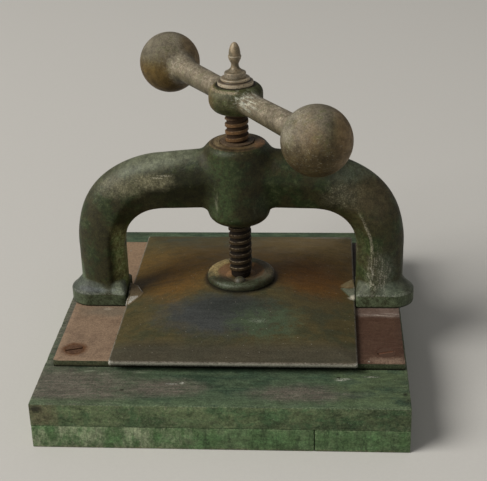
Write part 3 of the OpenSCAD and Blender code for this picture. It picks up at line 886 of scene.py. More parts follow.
def worn_bed():
    """Iron bed: bare and pinkish beige on the left, red-brown and scraped on the right."""
    look = Look("worn_bed_iron", Specular_IOR_Level=0.22)
    fine = look.noise(1.6, 1, 6, 0.78)
    blotch = look.noise(18, 2, 6, 0.7)
    scratch = look.noise(1.6, 6, 5, 0.75, (12, 0.9, 1), 0.3)
    right = (look.x + blotch * 30).span(60, 110)
    look.base((250, 172, 116))
    look.layer((185, 125, 86), blotch.span(0.46, 0.66))
    look.layer((285, 190, 115), look.y.span(20, 90), 0.6)
    look.layer((150, 130, 98), look.near((-140, -36, 57.5), (34, 12, 6), 0.6, 0.7, 4, 9), 0.6)
    look.layer((64, 32, 20), right, blotch.span(0.72, 0.4, 0.88, 1))
    look.layer((100, 56, 40), right, scratch.span(0.5, 0.64), 0.8)
    look.layer((170, 122, 102), right, look.y.span(-50, -34), blotch.span(0.34, 0.56, 0.5, 0.9))
    look.layer((320, 265, 230), right, look.near((158, -40, 57.5), (24, 4, 4), 0.6, 0.5, 3, 5),
               scratch.span(0.46, 0.58))
    look.layer((260, 190, 150), right, scratch.span(0.63, 0.7), look.x.span(146, 160), 0.7)
    look.layer((220, 150, 108), look.near((160, -136, 57.5), (20, 7, 6), 0.6, 0.9, 2), fine.span(0.34, 0.5),
               0.85)
    look.layer((112, 48, 20), look.near((-168, -119.5, 57.5), (13, 12.5, 9), 0.3, 0.35, 5))
    look.layer((64, 28, 17), look.near((157, -119.5, 57.5), (12, 12, 9), 0.4, 0.4, 6), 0.7)
    look.layer((300, 250, 190), look.near((-148, -31, 57.5), (4, 3, 4), 0.5, 0.8, 9), 0.8)
    # near black strip of the bed in the gap between the platen and the right leg: painted shade
    look.layer((12, 9, 6), look.x.band(125, 131.5, 1), look.y.span(14, 22), 0.9)
    edge = look.up.span(0.75, 0.4)
    look.layer((34, 44, 21), edge)
    look.layer((90, 84, 46), edge, look.x.span(-60, -110), blotch.span(0.42, 0.56), 0.8)
    look.layer((75, 88, 50), edge, fine.span(0.46, 0.6), look.z.band(52.5, 56, 1), 0.8)
    # near black along the bottom of the bed's sides, where it sits on the base: painted shade
    look.layer((7, 7, 4), edge, look.z.span(53, 51), 0.9)
    look.layer((160, 145, 110), look.ridge(0.15, 0.7), fine.span(0.46, 0.6), 0.6)
    look.layer((300, 280, 240), look.spots(22, 7, 0.05, 0.03), 0.7)
    look.shade(fine.span(0.25, 0.75, 0.62, 1.38))
    return look.done(blotch.span(0.35, 0.65, 0.68, 0.5), fine * 0.2 + blotch * 0.25)


def arch_left_side(look, grit, mottle, blotch, streak):
    """Green and brown ground, a painted highlight and a run on the boss, a crown greyed by dust and painted
    sheen, and painted shade on the face below it, on the left.
    """
    look.base((28, 26, 9))
    look.layer((22, 32, 10), blotch.span(0.44, 0.6))
    look.layer((48, 56, 25), mottle.span(0.5, 0.62), blotch.span(0.48, 0.62), 0.7)
    look.layer((34, 54, 18), look.near((-20, -28, 196), (17, 14, 50), 0.6, 0.5, 1), grit.span(0.36, 0.56))
    # pale upright streak on the boss's front left: painted highlight
    look.layer((150, 155, 100), look.near((-22.5, -25.5, 188), (1.8, 9, 15), 0.8, 1, 6),
               streak.span(0.46, 0.58))
    look.layer((70, 72, 42), look.near((19, -28, 172), (1.6, 9, 12), 0.8, 1, 7), streak.span(0.48, 0.6))
    low_end = look.x.span(-92, -50, 0.26, 0.52)
    crown = look.up.span(low_end, low_end + 0.42) * (look.x + blotch * 30).span(-12, -40)
    # up-facing crown on the left greyed: partly dust, partly painted sky sheen
    look.layer((134, 146, 98), crown, blotch.span(0.3, 0.6, 0.7, 1), look.x.span(-150, -95, 0.25, 1))
    # face below the crown, turned from the light, darkened: painted shade
    face = look.near((-60, -22, 203), (46, 14, 26), 0.5, 0.5, 12, 12) * look.up.span(0.6, 0.3)
    look.layer((14, 14, 4), face, 0.85)


def arch_rubs(look, fine, grit, dust, speckle):
    """Rubbed patch with two scratches on the left corner, bare crease on the right leg."""
    rub = look.most(look.near((-126, -19, 199), (24, 13, 10), 0.6, 0.6, 8, 9),
                    look.near((-93, -19, 206), (24, 13, 8.5), 0.6, 0.6, 8, 9))
    look.layer((132, 123, 71), rub, grit.span(0.3, 0.6, 0.5, 0.95))
    look.layer((235, 225, 155), rub, speckle, 0.5)
    look.layer((22, 26, 10), rub, dust.span(0.44, 0.36), 0.7)
    look.shade((rub * look.x.span(-104, -124)).span(0, 1, 1, 0.75))
    for place, reach in (((-77, -18.5, 213.6), (6, 8, 0.7)), ((-85, -18.5, 211.2), (5, 8, 0.7))):
        look.layer((380, 360, 275), look.near(place, reach, 0.8, 0.8, 3, 4), fine.span(0.42, 0.54), 0.8)
    crease = look.ridge(0.035, 0.1) * look.x.span(92, 112) * look.z.band(116, 208, 12)
    look.layer((230, 210, 155), crease, fine.span(0.42, 0.56), 0.85)


def arch_right_side(look, fine, grit, mottle, streak, speckle):
    """Scuffs, sheen and a scraped patch on the right leg."""
    scuffed = look.near((113, -20, 191), (19, 12, 15), 0.6, 0.7, 9, 7)
    look.layer((66, 62, 38), scuffed, 0.75)
    look.layer((180, 170, 115), scuffed, speckle, mottle.span(0.36, 0.56), 0.85)
    sheen = look.most(look.near((160, -20, 98), (9, 14, 22), 0.7, 0.6, 15, 8),
                      look.near((128, -16, 214), (34, 20, 9), 0.7, 0.6, 16, 8))
    look.layer((68, 80, 56), sheen, grit.span(0.34, 0.56, 0.4, 1), 0.8)
    # brownish grey on the right shoulder of the arch: painted sheen
    look.layer((64, 50, 26), look.near((148, -18, 188), (24, 20, 24), 0.7, 0.6, 17, 8), 0.75)
    scraped = look.near((151, -23, 98), (11, 12, 22), 0.6, 0.7, 13, 8)
    look.layer((72, 70, 44), scraped, 0.5)
    look.layer((250, 240, 190), scraped, (streak * 0.5 + fine * 0.5).span(0.49, 0.57), 0.8)


def arch_inner_sides(look, fine, grit, mottle, blotch):
    """Inner sides of the legs, bright on the left one through painted light, with painted sheen on the left
    leg's outer side.
    """
    inner = abs(look.x).span(143, 134) * look.z.band(80, 150, 10)
    look.layer((50, 56, 25), inner, grit.span(0.44, 0.6), look.z.span(88, 120, 0.4, 0.75))
    bright = inner * look.x.span(0, -100)
    # left inner side made up to six times brighter: painted light
    look.shade(1 + bright * 5)
    look.layer((230, 245, 130), bright, (mottle * 0.5 + fine * 0.5).span(0.51, 0.59),
               look.z.span(128, 96, 0.45, 0.85))
    look.layer((14, 18, 7), bright, blotch.span(0.5, 0.36), 0.7)
    # pale green down the left leg's outer side: painted sheen
    look.layer((90, 120, 68), look.near((-179, -8, 90), (5, 14, 16), 0.6, 0.6, 4), 0.8)


def arch_feet(look, blotch, dust):
    """Dusty shoulders of the feet, with painted sheen, light and shade on the left one, and a pale line round
    their upright band.
    """
    foot = look.z.span(90, 82) * look.up.span(0.06, 0.22) * look.x.span(80, -120, 0.55, 1)
    look.layer((108, 126, 98), foot, blotch.span(0.3, 0.56, 0.65, 0.95))
    # bluish band low on the left foot's shoulder: painted sheen
    look.layer((165, 185, 185), foot, look.near((-165, -22, 77.5), (22, 8, 2.4), 0.6, 0.7, 5), 0.7)
    # left foot's shoulder brightened on its shaded right part and darkened on its lit left end: painted light
    # and shade
    look.shade((foot * look.near((-143, -22, 80), (13, 12, 9), 0.6)).span(0, 1, 1, 2.1))
    look.shade((foot * look.x.span(-148, -160)).span(0, 1, 1, 0.55))
    lines = look.z.band(72, 74.2, 0.7) * look.north.span(-0.3, -0.6)
    look.layer((170, 180, 145), lines, dust.span(0.46, 0.58), 0.75)


def boss_ends(look, grit, mottle, dust):
    """Brown and rusty top of the boss, brown underside."""
    rim_z = look.z + grit * 3
    top = rim_z.span(244.4, 246.2) * look.near((0, 0, 246), (37, 37, 9), 0.2, 0.1, 4)
    look.layer((100, 68, 32), top)
    look.layer((200, 150, 80), top, (look.x + mottle * 20).span(2, -12), dust.span(0.4, 0.56))
    look.layer((28, 19, 10), top, (look.away() + grit * 4).band(27.5, 31.5, 1.2), 0.8)
    look.layer((210, 108, 45), top, look.near((27, -4, 245), (9, 13, 6), 0.6, 0.6, 14), 0.85)
    look.layer((140, 122, 78), rim_z.band(242.6, 244.4, 0.6), look.y.span(8, -8), dust.span(0.52, 0.62),
               0.6)
    underside = look.up.span(-0.3, -0.7) * look.z.span(150, 165)
    look.layer((46, 34, 15), underside, 0.8)


def arch_paint():
    """Dark olive-green paint on a rough casting, rubbed along the crease, dusty on the crown and the feet,
    with painted sheen, highlights, light and shade.
    """
    look = Look("arch_green_paint", Specular_IOR_Level=0.25)
    fine = look.noise(1.4, 1, 6, 0.8)
    grit = look.noise(3.2, 5, 6, 0.75)
    mottle = look.noise(7, 15, 6, 0.8)
    blotch = look.noise(24, 2, 5, 0.65)
    streak = look.noise(2.4, 11, 5, 0.7, (1, 1, 4))
    dust = fine * 0.7 + grit * 0.3
    speckle = dust.span(0.5, 0.6)
    arch_left_side(look, grit, mottle, blotch, streak)
    arch_rubs(look, fine, grit, dust, speckle)
    arch_right_side(look, fine, grit, mottle, streak, speckle)
    arch_inner_sides(look, fine, grit, mottle, blotch)
    arch_feet(look, blotch, dust)
    boss_ends(look, grit, mottle, dust)
    band = look.z.span(73, 70)
    look.layer((66, 84, 48), band, mottle.span(0.34, 0.6, 0.4, 1), 0.9)
    # near black in concave corners: painted shade
    look.layer((8, 6, 3), look.ridge(-0.03, -0.16), 0.75)
    # near black along the feet's lowest 2 mm, where they stand on the bed: painted shade
    look.layer((8, 6, 3), look.z.span(60, 58.2), 0.9)
    look.layer((260, 250, 190), look.spots(9, 7, 0.045, 0.03), blotch.span(0.5, 0.6), 0.6)
    look.shade(fine.span(0.25, 0.75, 0.55, 1.45))
    look.shade(mottle.span(0.3, 0.7, 0.58, 1.42))
    # right side made up to 1.38 times brighter: painted light
    look.shade(look.x.span(100, 132, 1, 1.38))
    height = grit * 0.5 + fine * 0.18 + blotch * 0.7
    return look.done(blotch.span(0.35, 0.65, 0.54, 0.4), height)


def platen_stains_and_shadows(look, fine, blotch, cloud):
    """Rust behind and beside the collar, blue-grey and green in front of it, and painted shadows round and in
    front of the collar and across the left side.
    """
    look.base((76, 61, 26))
    look.layer((55, 54, 27), blotch.span(0.45, 0.62))
    look.layer((108, 64, 16), look.y.band(-4, 100, 34), cloud.span(0.26, 0.6, 0.6, 1))
    look.layer((148, 102, 40), look.near((74, 118, 66), (64, 36, 16), 0.6, 0.4, 1, 18), 0.8)
    look.layer((116, 50, 9), look.near((78, 14, 72), (42, 40, 20), 0.6, 0.5, 1, 14), 0.9)
    look.layer((122, 64, 14), look.near((-70, 6, 72), (36, 46, 20), 0.6, 0.5, 2, 14),
               cloud.span(0.3, 0.6, 0.5, 1))
    look.layer((48, 52, 52), look.near((-22, -74, 72), (58, 34, 24), 0.45, 0.5, 3, 12), 0.95)
    look.layer((56, 76, 44), look.near((30, -84, 70), (36, 34, 22), 0.5, 0.6, 4, 12),
               cloud.span(0.34, 0.56))
    look.layer((170, 200, 150), look.near((23, -85, 73), (8, 4, 8), 0.8, 0.9, 6, 4), fine.span(0.46, 0.58),
               0.8)
    # dark patch in front of the collar: painted shadow
    look.layer((30, 34, 30), look.near((0, -56, 74), (44, 16, 14), 0.6, 0.6, 5, 10), 0.7)
    look.layer((60, 54, 38), look.y.span(-108, -136), 0.85)
    # faint dark line from the left lug towards the collar: painted shadow
    look.layer((30, 22, 11), look.near((-80, 6, 68), (34, 2.6, 12), 0.9, 0.7, 9, 6), 0.35)
    # dark ring round the collar's foot: painted shadow
    look.layer((16, 14, 10), look.away().span(43.5, 38.5), 0.75)


def platen_lugs(look, fine):
    """Brown and pale facets of the two guide lugs, the left lug's raised out of the leg's shadow with painted
    light.
    """
    lug_left = look.near((-116, -16, 67), (17, 30, 9), 0.15)
    # left lug's brown top and pale front facet: their colour, made brighter against the leg's shadow with
    # painted light
    look.layer((200, 150, 90), lug_left, look.east.span(0.06, 0.12), 0.9)
    look.layer((520, 490, 430), lug_left, look.up.span(0.89, 0.84), look.east.span(0.3, 0.4),
               fine.span(0.3, 0.5, 0.6, 1))
    lug_right = look.near((118, 8, 67), (18, 38, 10), 0.15)
    look.layer((190, 150, 74), lug_right, look.north.span(0.06, 0.14), look.x.span(106, 120, 0.3, 0.9))
    look.layer((62, 78, 50), lug_right, look.north.span(-0.06, -0.2), 0.75)
    look.layer((400, 370, 300), look.near((125, -13, 64), (5, 3, 3), 0.6, 0.6, 9, 4), 0.8)


def platen_iron():
    """Dark worn iron: rust about the collar, grey-green in front of it, a rubbed bright rim."""
    look = Look("platen_worn_iron", Specular_IOR_Level=0.15)
    fine = look.noise(1.6, 1, 6, 0.8)
    grit = look.noise(5.5, 4, 5, 0.7)
    blotch = look.noise(30, 2, 5, 0.65, (1, 0.8, 1))
    cloud = look.noise(14, 9, 6, 0.75, (1.3, 0.9, 1))
    wiped = look.noise(3, 12, 5, 0.7, (14, 1.4, 1), 0.2)
    platen_stains_and_shadows(look, fine, blotch, cloud)
    x_out, y_out = abs(look.x), abs(look.y)
    rim = look.most(x_out.span(124.4, 126), y_out.span(149.6, 151.2))
    look.layer((120, 102, 78), rim, grit.span(0.34, 0.56), 0.85)
    look.layer((230, 228, 186), look.up.span(0.6, 0.3), 0.9)
    # lowest 1.5 mm of the sides darkened where the platen rests on the bed: painted shade
    look.layer((50, 48, 40), look.z.span(60.2, 58.6), look.up.span(0.6, 0.3), 0.9)
    worn = (fine * 0.6 + grit * 0.4).span(0.4, 0.54)
    look.layer((500, 490, 440), look.ridge(0.12, 0.42), worn, 0.85)
    look.layer((230, 235, 220), look.near((98, 146, 63), (30, 3, 4), 0.6, 0.8, 6, 5),
               wiped.span(0.42, 0.56), 0.8)
    platen_lugs(look, fine)
    look.layer((340, 320, 280), look.spots(8, 7, 0.05, 0.03), 0.75)
    look.shade(fine.span(0.25, 0.75, 0.6, 1.4))
    look.shade(cloud.span(0.3, 0.7, 0.88, 1.12))
    look.shade(wiped.span(0.3, 0.7, 0.88, 1.12))
    height = grit * 0.14 + fine * 0.1 + blotch * 0.5
    return look.done(blotch.span(0.35, 0.65, 0.6, 0.46), height)


def collar_iron():
    """Worn paint, dark in front with a painted highlight on the front crest, rubbed yellow at the back left
    and lifted there with painted light, over a rusty recess, with painted shade in its corners and round its
    foot.
    """
    look = Look("collar_iron", Specular_IOR_Level=0.25)
    fine = look.noise(1.3, 1, 6, 0.78)
    blotch = look.noise(8, 2, 6, 0.72)
    away = look.away()
    inside = (away + blotch * 5).span(29.5, 26.5)
    look.base((30, 29, 13))
    look.layer((40, 50, 27), blotch.span(0.47, 0.6))
    # rubbed yellow at the back left, made brighter to stand out of the shadow there: partly worn paint,
    # partly painted light
    look.layer((500, 375, 165), look.near((-25, 15, 91), (14, 23, 5), 0.5, 0.5, 2, 6), fine.span(0.34, 0.5),
               0.9)
    look.layer((105, 80, 46), look.near((28, 8, 91), (14, 24, 5), 0.5, 0.5, 6), fine.span(0.36, 0.52), 0.8)
    # pale green along the front crest: painted highlight
    look.layer((95, 115, 78), look.near((-14, -33, 90), (26, 6, 4), 0.5, 0.6, 8, 6), fine.span(0.42, 0.56),
               0.8)
    look.layer((220, 118, 45), inside, (look.y + blotch * 8).span(-3, 5, 0.22, 1))
    look.layer((330, 185, 95), inside, look.near((-21, 6, 88), (9, 14, 7), 0.6, 0.5, 12, 5), 0.8)
    look.layer((72, 40, 18), inside, (look.x + blotch * 10).span(10, 22), 0.6)
    look.layer((60, 50, 30), inside, (look.y + blotch * 8).span(-2, -10), 0.9)
    look.layer((150, 140, 100), look.ridge(0.12, 0.4), fine.span(0.46, 0.6), 0.4)
    # near black in concave corners: painted shade
    look.layer((12, 7, 4), look.ridge(-0.05, -0.3), 0.7)
    # near black round the collar's foot: painted shade
    look.layer((8, 8, 5), (look.z + blotch * 1.5).span(86.6, 84.8), 0.85)
    look.shade(fine.span(0.25, 0.75, 0.62, 1.38))
    return look.done(blotch.span(0.35, 0.65, 0.58, 0.42), fine * 0.18 + blotch * 0.6)


def spindle_iron():
    """Thread dark in the grooves, with thin bright crests that carry a painted highlight along their tops,
    browner above the boss.
    """
    look = Look("spindle_rusty_iron", Specular_IOR_Level=0.22)
    fine = look.noise(1.2, 1, 6, 0.78)
    blotch = look.noise(7, 2, 6, 0.7)
    crest = look.away().span(11.2, 12.4)
    high = look.z.span(235, 250)
    look.base((10, 6, 3))
    look.layer((30, 15, 6), high)
    look.layer((42, 27, 12), crest, blotch.span(0.36, 0.6, 0.5, 1))
    look.layer((125, 66, 26), crest, high, blotch.span(0.34, 0.58, 0.6, 1))
    # pale line on the upward tops of the crests: partly wear, partly painted highlight
    look.layer((260, 210, 140), look.up.span(0.25, 0.55), crest, fine.span(0.44, 0.56),
               blotch.span(0.4, 0.56), high.span(0, 1, 0.9, 0.35))
    look.shade(fine.span(0.25, 0.75, 0.62, 1.38))
    return look.done(crest.span(0, 1, 0.75, 0.5), fine * 0.14 + blotch * 0.3)


def ball_coats_and_painted_light(look, fine, grit, mottle, blotch, far, under):
    """Grey above, brown below and on the sides of the balls, their left sides paler with painted light."""
    look.base((136, 104, 58))
    look.layer((66, 56, 28), blotch.span(0.46, 0.6), 0.8)
    look.layer((178, 158, 120), look.up.span(0.2, 0.8), fine.span(0.34, 0.58, 0.6, 1), 0.85)
    # paler on the balls' left sides, towards the key lamp: partly rubbed paint, partly painted light
    look.layer((222, 202, 156), look.east.span(0, -0.7), fine.span(0.36, 0.58, 0.5, 1),
               far.span(0, 1, 0.8, 0.3))
    look.layer((74, 42, 9), under, grit.span(0.28, 0.5), 0.95)
    look.layer((70, 54, 20), far, look.near((-104, 110, 296), (24, 30, 24), 0.6, 0.5, 3, 10), 0.85)
    look.layer((54, 60, 22), mottle.span(0.5, 0.62), 0.6)
    look.layer((50, 52, 26), look.near((104, -152, 309), (9, 14, 12), 0.6, 0.8, 21, 7), 0.6)
    look.layer((150, 98, 55), look.near((78, -150, 300), (14, 22, 20), 0.6, 0.8, 22, 9), 0.5)
    look.layer((140, 88, 38), look.away().span(122, 134), look.east.span(0.3, 0.75), 0.7)


def handle_hub(look, fine, grit, mottle, blotch, streak, away, hub):
    """Green hub, bare where an arm leaves it, with a worn rim and painted shade round the cap washer."""
    look.layer((40, 44, 15), hub, grit.span(0.74, 0.5, 0.7, 1))
    look.layer((72, 80, 38), hub, blotch.span(0.48, 0.6), 0.75)
    look.layer((122, 82, 26), hub, (look.x + mottle * 8).span(-14, -24), 0.75)
    root = look.near((17, -37, 301), (20, 17, 10), 0.6, 0.7, 3, 6)
    look.layer((380, 390, 325), root, (streak * 0.85 + fine * 0.15).span(0.49, 0.58), 0.85)
    look.layer((270, 215, 150), hub, look.z.band(304.6, 306.8, 0.8), look.x.span(10, -2),
               fine.span(0.38, 0.56), 0.85)
    look.layer((120, 112, 70), hub, look.z.band(299, 305, 2), look.x.span(6, -12), 0.6)
    # near black ring round the cap washer on the hub's top: painted shade
    look.layer((14, 10, 6), hub, look.z.span(306, 307.6), away.span(22.5, 20.5), 0.9)


def ball_rubs_and_warm_light(look, blotch, away, far):
    """Scraped and greyed patches of the balls, darker lower halves, a painted highlight on the far ball and
    painted warm light on their right sides.
    """
    ball = away.span(122, 134)
    look.layer((50, 38, 16), ball, (look.up + blotch * 0.5).span(0.62, 0.12), 0.72)
    # grey on the far ball's upper left: partly greyed paint, partly painted highlight
    look.layer((138, 122, 92), ball, far, look.near((-116, 120, 318), (22, 26, 17), 0.8, 0.5, 23, 10), 0.8)
    look.layer((110, 66, 16), ball, far, (look.up + blotch * 0.5).span(0.66, 0.2), 0.6)
    scrape = look.noise(3.4, 18, 5, 0.75, (4, 1, 0.6), 1.2, 0.9)
    look.layer((230, 210, 155), ball, scrape.span(0.57, 0.64), look.up.band(-0.55, 0.45, 0.2),
               far.span(0, 1, 0.7, 0.15))
    look.layer((44, 38, 18), ball, scrape.span(0.44, 0.34), 0.45)
    # warm orange on the balls' right sides: painted bounce light
    look.layer((225, 158, 85), ball, look.east.span(0.3, 0.9), 0.65)


def handle_paint():
    """Paint rubbed down to grey on the arms and the tops of the balls, brown below, dark green on the hub."""
    look = Look("handle_worn_paint", Specular_IOR_Level=0.16)
    fine = look.noise(1.4, 1, 6, 0.8)
    grit = look.noise(3, 5, 6, 0.78)
    mottle = look.noise(7, 15, 6, 0.75)
    blotch = look.noise(17, 2, 5, 0.65)
    streak = look.noise(2.4, 4, 6, 0.75, (7, 1, 1), 0.3, HANDLE_ANGLE)
    away = look.away()
    arm = away.band(30, 124, 7)
    hub = (away + grit * 8).span(38, 31)
    far = look.y.span(60, 100)
    under = look.up.span(0.25, -0.35)
    ball_coats_and_painted_light(look, fine, grit, mottle, blotch, far, under)
    look.layer((135, 112, 74), arm, 0.9)
    look.layer((280, 236, 182), arm, (streak * 0.35 + grit * 0.65).span(0.42, 0.6), look.up.span(-0.1, 0.5),
               0.85)
    look.layer((90, 90, 56), arm, mottle.span(0.5, 0.6), 0.6)
    look.layer((80, 68, 38), arm, look.up.span(0.2, -0.4), 0.75)
    look.layer((430, 395, 310), arm, look.up.span(0.3, 0.8), (streak * 0.5 + fine * 0.5).span(0.53, 0.63),
               0.6)
    look.layer((230, 205, 155), away.band(118, 136, 8), grit.span(0.42, 0.6), 0.5)
    handle_hub(look, fine, grit, mottle, blotch, streak, away, hub)
    look.layer((340, 320, 260), look.spots(6, 7, 0.06, 0.03), mottle.span(0.46, 0.6), 0.6)
    look.layer((16, 11, 6), look.spots(5, 8, 0.08, 0.05), look.up.span(0.5, -0.2), 0.7)
    look.shade(fine.span(0.25, 0.75, 0.68, 1.32))
    ball_rubs_and_warm_light(look, blotch, away, far)
    look.shade(mottle.span(0.32, 0.68, 0.74, 1.3))
    look.shade(blotch.span(0.36, 0.64, 0.8, 1.24))
    look.shade(look.noise(2, 19, 4, 0.7).span(0.34, 0.66, 0.86, 1.14))
    height = grit * 0.42 + fine * 0.2 + blotch * 0.5
    return look.done(blotch.span(0.35, 0.65, 0.62, 0.46), height)


def cap_iron():
    """Bare iron turnings: pale worn edges, painted shade between the steps, and a right side lightened with
    painted light.
    """
    look = Look("cap_bare_iron", Specular_IOR_Level=0.45, Metallic=0.2)
    fine = look.noise(1.1, 1, 6, 0.78)
    blotch = look.noise(7, 2, 6, 0.7)
    right = look.x.span(2, 12)
    look.base((285, 225, 145))
    look.layer((125, 112, 72), blotch.span(0.46, 0.56), 0.8)
    look.layer((60, 44, 24), blotch.span(0.44, 0.36), look.z.span(340, 334), 0.8)
    look.layer((105, 62, 28), fine.span(0.48, 0.58), 0.6)
    look.layer((360, 320, 255), look.ridge(0.08, 0.45), fine.span(0.38, 0.54), 0.7)
    # paler right side of the cap and finial, where they turn from the light: painted light
    look.layer((480, 395, 270), right, fine.span(0.36, 0.52), 0.7)
    # dark in concave corners and in the washer's step: painted shade
    look.layer((28, 19, 10), look.ridge(-0.02, -0.22), look.z.span(338, 330, 0.2, 0.95))
    look.layer((30, 20, 11), look.z.band(311.6, 312.6, 0.3), 0.7)
    look.shade(look.z.span(317, 312, 0.8, 1.45))
    look.shade(look.z.span(330, 338, 1, 1.4))
    look.shade(fine.span(0.25, 0.75, 0.58, 1.42))
    return look.done(blotch.span(0.35, 0.65, 0.52, 0.36), fine * 0.14 + blotch * 0.2)


def bolt_iron():
    """Dark domed bolt heads with a little rust."""
    look = Look("bolt_dark_iron", Specular_IOR_Level=0.35)
    fine = look.noise(1, 1, 6, 0.75)
    blotch = look.noise(5, 2, 5, 0.65)
    look.base((70, 64, 44))
    look.layer((40, 44, 26), blotch.span(0.44, 0.58))
    look.layer((85, 45, 20), fine.span(0.52, 0.62), 0.6)
    look.shade(fine.span(0.25, 0.75, 0.7, 1.3))
    return look.done(blotch.span(0.35, 0.65, 0.55, 0.42), fine * 0.12 + blotch * 0.2)


def nut_iron():
    """Brown oiled bush."""
    look = Look("nut_rusty_iron", Specular_IOR_Level=0.45)
    fine = look.noise(1.3, 1, 5, 0.7)
    blotch = look.noise(8, 2, 5, 0.62)
    look.base((75, 46, 24))
    look.layer((120, 82, 46), blotch.span(0.45, 0.6))
    look.layer((160, 130, 90), fine.span(0.52, 0.64), 0.6)
    look.shade(fine.span(0.25, 0.75, 0.75, 1.2))
    return look.done(blotch.span(0.35, 0.65, 0.7, 0.5), fine * 0.15 + blotch * 0.25)


def plain_steel():
    """Dull steel of the hidden fasteners and the thrust pad."""
    look = Look("plain_steel", Specular_IOR_Level=0.5, Metallic=0.7)
    fine = look.noise(0.9, 1, 5, 0.7)
    blotch = look.noise(7, 2, 5, 0.62)
    look.base((200, 185, 155))
    look.layer((110, 75, 45), blotch.span(0.48, 0.62))
    look.shade(fine.span(0.25, 0.75, 0.8, 1.2))
    return look.done(blotch.span(0.35, 0.65, 0.45, 0.32), fine * 0.05 + blotch * 0.1)


def rusty_screw():
    """Rusted screw heads, the right-hand ones under old paint, their slots lit by painted light so they
    hardly show.
    """
    look = Look("rusty_screw_head", Specular_IOR_Level=0.4)
    fine = look.noise(1, 1, 5, 0.7)
    blotch = look.noise(6, 2, 5, 0.62)
    look.base((105, 50, 24))
    look.layer((70, 30, 14), blotch.span(0.42, 0.6))
    look.layer((190, 130, 85), fine.span(0.54, 0.66), 0.6)
    look.layer((60, 28, 13), look.z.span(56.9, 56.3), look.x.span(50, -50))
    look.layer((68, 34, 21), look.x.span(50, 100), 0.92)
    # bright inside the right-hand slots to cancel their shade: painted light
    look.layer((230, 115, 70), look.x.span(50, 100), look.z.span(57.4, 57.1), look.z.span(55, 55.8))
    look.shade(fine.span(0.25, 0.75, 0.75, 1.2))
    return look.done(blotch.span(0.35, 0.65, 0.75, 0.55), fine * 0.15 + blotch * 0.2)


def pale_floor():
    """Plain pale floor."""
    look = Look("pale_floor", Specular_IOR_Level=0.2)
    grain = look.noise(3, 1, 3, 0.6)
    look.base((580, 570, 550))
    look.shade(grain.span(0.3, 0.7, 0.99, 1.01))
    return look.done(0.9, grain * 0.02)


# Assembly

BOARD_PLAY = 0.06
BUTT_PLAY = 0.08
SHARP = 40


def base_boards(look):
    """Upper board over two lower ones, with worn edges and the holes of the bolts and screws."""
    upper = (BASE_SEAM + BOARD_PLAY, BASE_TOP)
    lower = (0, BASE_SEAM - BOARD_PLAY)
    left = (BASE_X[0], BUTT_JOINT_X - BUTT_PLAY)
    right = (BUTT_JOINT_X + BUTT_PLAY, BASE_X[1])
    rows = (("top_board", BASE_X, upper, 3, "base_top_board"),
            ("lower_board_wide", left, lower, 17, "base_lower_board_left"),
            ("lower_board_narrow", right, lower, 29, "base_lower_board_right"))
    for name, x, z, seed, node in rows:
        mesh = build_mesh(name, *slab(x, BASE_Y, z, 1.1, seed, 0.4), merge=True)
        piece(name, bored(mesh, base_holes(x, z == upper)), "frame", [node], look, SHARP)


def bed(look):
    mesh = build_mesh("bed", *slab(BED_X, BED_Y, (BASE_TOP + 0.02, BED_TOP), 0.8, 41, 0.3, 2.5), merge=True)
    piece("bed_casting", bored(mesh, bed_holes()), "frame", ["bed_plate"], look, SHARP)


def castings():
    """Arch, platen, collar halves and handle, each meshed from its distance field."""
    mesh = build_mesh("arch", *surface(arch_field, (-192.5, -34, BED_TOP), (192.5, 34, BOSS_TOP), 1.6))
    piece("arch_casting", mesh, "frame", ["arch_frame"], arch_paint())
    low = (-PLATEN_HALF_W - 0.5, -PLATEN_HALF_D, PLATEN_UNDER)
    high = (PLATEN_HALF_W + 0.5, PLATEN_HALF_D, SEAT_TOP)
    mesh = build_mesh("platen", *surface(platen_field, low, high, 1.4))
    piece("platen_casting", mesh, "platen", ["platen"], platen_iron())
    look = collar_iron()
    for name, side in (("front", -1), ("rear", 1)):
        mesh = build_mesh("collar", *surface(*collar_half(side), 0.8, 1))
        piece("collar_" + name, mesh, "platen", ["swivel_collar_" + name], look, 50)
    mesh = build_mesh("handle", *handle_mesh())
    piece("handle_casting", mesh, "screw", ["ball_handle"], handle_paint())


def turned_pieces(look):
    """Spindle, cap washer and finial."""
    spindle = build_mesh("spindle", *spindle_mesh())
    piece("spindle_turned", spindle, "screw", ["screw_spindle"], spindle_iron(), 50)
    washer = build_mesh("cap", *turned(cap_outline()), merge=True)
    piece("cap_turned", washer, "screw", ["cap_washer"], look, 60)
    finial = build_mesh("finial", *turned(finial_outline()), merge=True)
    piece("finial_turned", finial, "screw", ["acorn_finial"], look, 60)


def carried_nodes():
    """Materials of the CAD nodes that are shown as they are."""
    steel = plain_steel()
    looks = {"base_screws": steel, "arch_bolts": steel, "arch_bolt_washers": steel, "nut_lock_pin": steel,
             "thrust_pad": steel, "collar_bolts": bolt_iron(), "screw_nut": nut_iron(),
             "bed_screws": rusty_screw()}
    for name, look in looks.items():
        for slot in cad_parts[name].material_slots:
            slot.material = look


def stage():
    """A square floor, far wider than the view."""
    mesh = bpy.data.meshes.new("floor")
    size = 30.0
    corners = [(-size, -size, 0), (size, -size, 0), (size, size, 0), (-size, size, 0)]
    mesh.from_pydata(corners, [], [(0, 1, 2, 3)])
    floor = bpy.data.objects.new("floor", mesh)
    bpy.context.scene.collection.objects.link(floor)
    mesh.materials.append(pale_floor())


def area_light(name, place, target, size, power, colour):
    light = bpy.data.lights.new(name, "AREA")
    light.shape = "DISK"
    light.size = size
    light.energy = power
    light.color = colour
    obj = bpy.data.objects.new(name, light)
    obj.location = place
    obj.rotation_euler = (Vector(target) - Vector(place)).to_track_quat("-Z", "Y").to_euler()
    bpy.context.scene.collection.objects.link(obj)


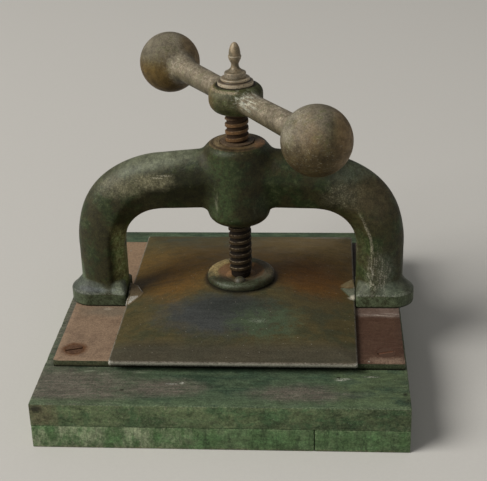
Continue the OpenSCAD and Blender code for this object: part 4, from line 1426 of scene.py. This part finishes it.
def lights():
    """A large key lamp from the left, a weak fill, and a dim sky that the camera sees as pale."""
    middle = (0, 0, 0.12)
    area_light("key", (-6.3, -3.15, 5.8), middle, 6.0, 900, (1.0, 0.97, 0.91))
    area_light("fill", (2.7, -6.6, 4.0), middle, 4.0, 18, (1.0, 0.98, 0.94))
    world = bpy.data.worlds.new("sky")
    bpy.context.scene.world = world
    world.use_nodes = True
    tree = world.node_tree
    tree.nodes.clear()
    kinds = ("OutputWorld", "Background", "Background", "MixShader", "LightPath")
    out, sky, seen, mix, path = [tree.nodes.new("ShaderNode" + kind) for kind in kinds]
    sky.inputs["Color"].default_value = (1.0, 0.98, 0.94, 1)
    sky.inputs["Strength"].default_value = 0.22
    seen.inputs["Color"].default_value = (0.93, 0.93, 0.92, 1)
    tree.links.new(path.outputs["Is Camera Ray"], mix.inputs[0])
    tree.links.new(sky.outputs[0], mix.inputs[1])
    tree.links.new(seen.outputs[0], mix.inputs[2])
    tree.links.new(mix.outputs[0], out.inputs[0])


def camera():
    """The photograph's camera: in front, a little right, looking down about 25 degrees."""
    yaw, pitch, roll = -0.0769, 0.4373, -0.0287
    focal_px, width_px, sensor = 1156.5652, 487, 36.0
    forward = Vector((math.sin(yaw) * math.cos(pitch), math.cos(yaw) * math.cos(pitch), -math.sin(pitch)))
    right = Vector((math.cos(yaw), -math.sin(yaw), 0))
    up = right.cross(forward)
    level = math.cos(roll) * right + math.sin(roll) * up
    upright = -math.sin(roll) * right + math.cos(roll) * up
    data = bpy.data.cameras.new("camera")
    data.sensor_width = sensor
    data.lens = focal_px * sensor / width_px
    data.clip_end = 50
    obj = bpy.data.objects.new("camera", data)
    matrix = Matrix((level, upright, -forward)).transposed().to_4x4()
    matrix.translation = Vector((92.7345, -1155.4251, 669.8226)) * MM
    obj.matrix_world = matrix
    bpy.context.scene.collection.objects.link(obj)
    bpy.context.scene.camera = obj


camera()
lights()
stage()
base_boards(painted_wood())
bed(worn_bed())
castings()
turned_pieces(cap_iron())
carried_nodes()
bpy.context.scene.view_settings.view_transform = "Standard"
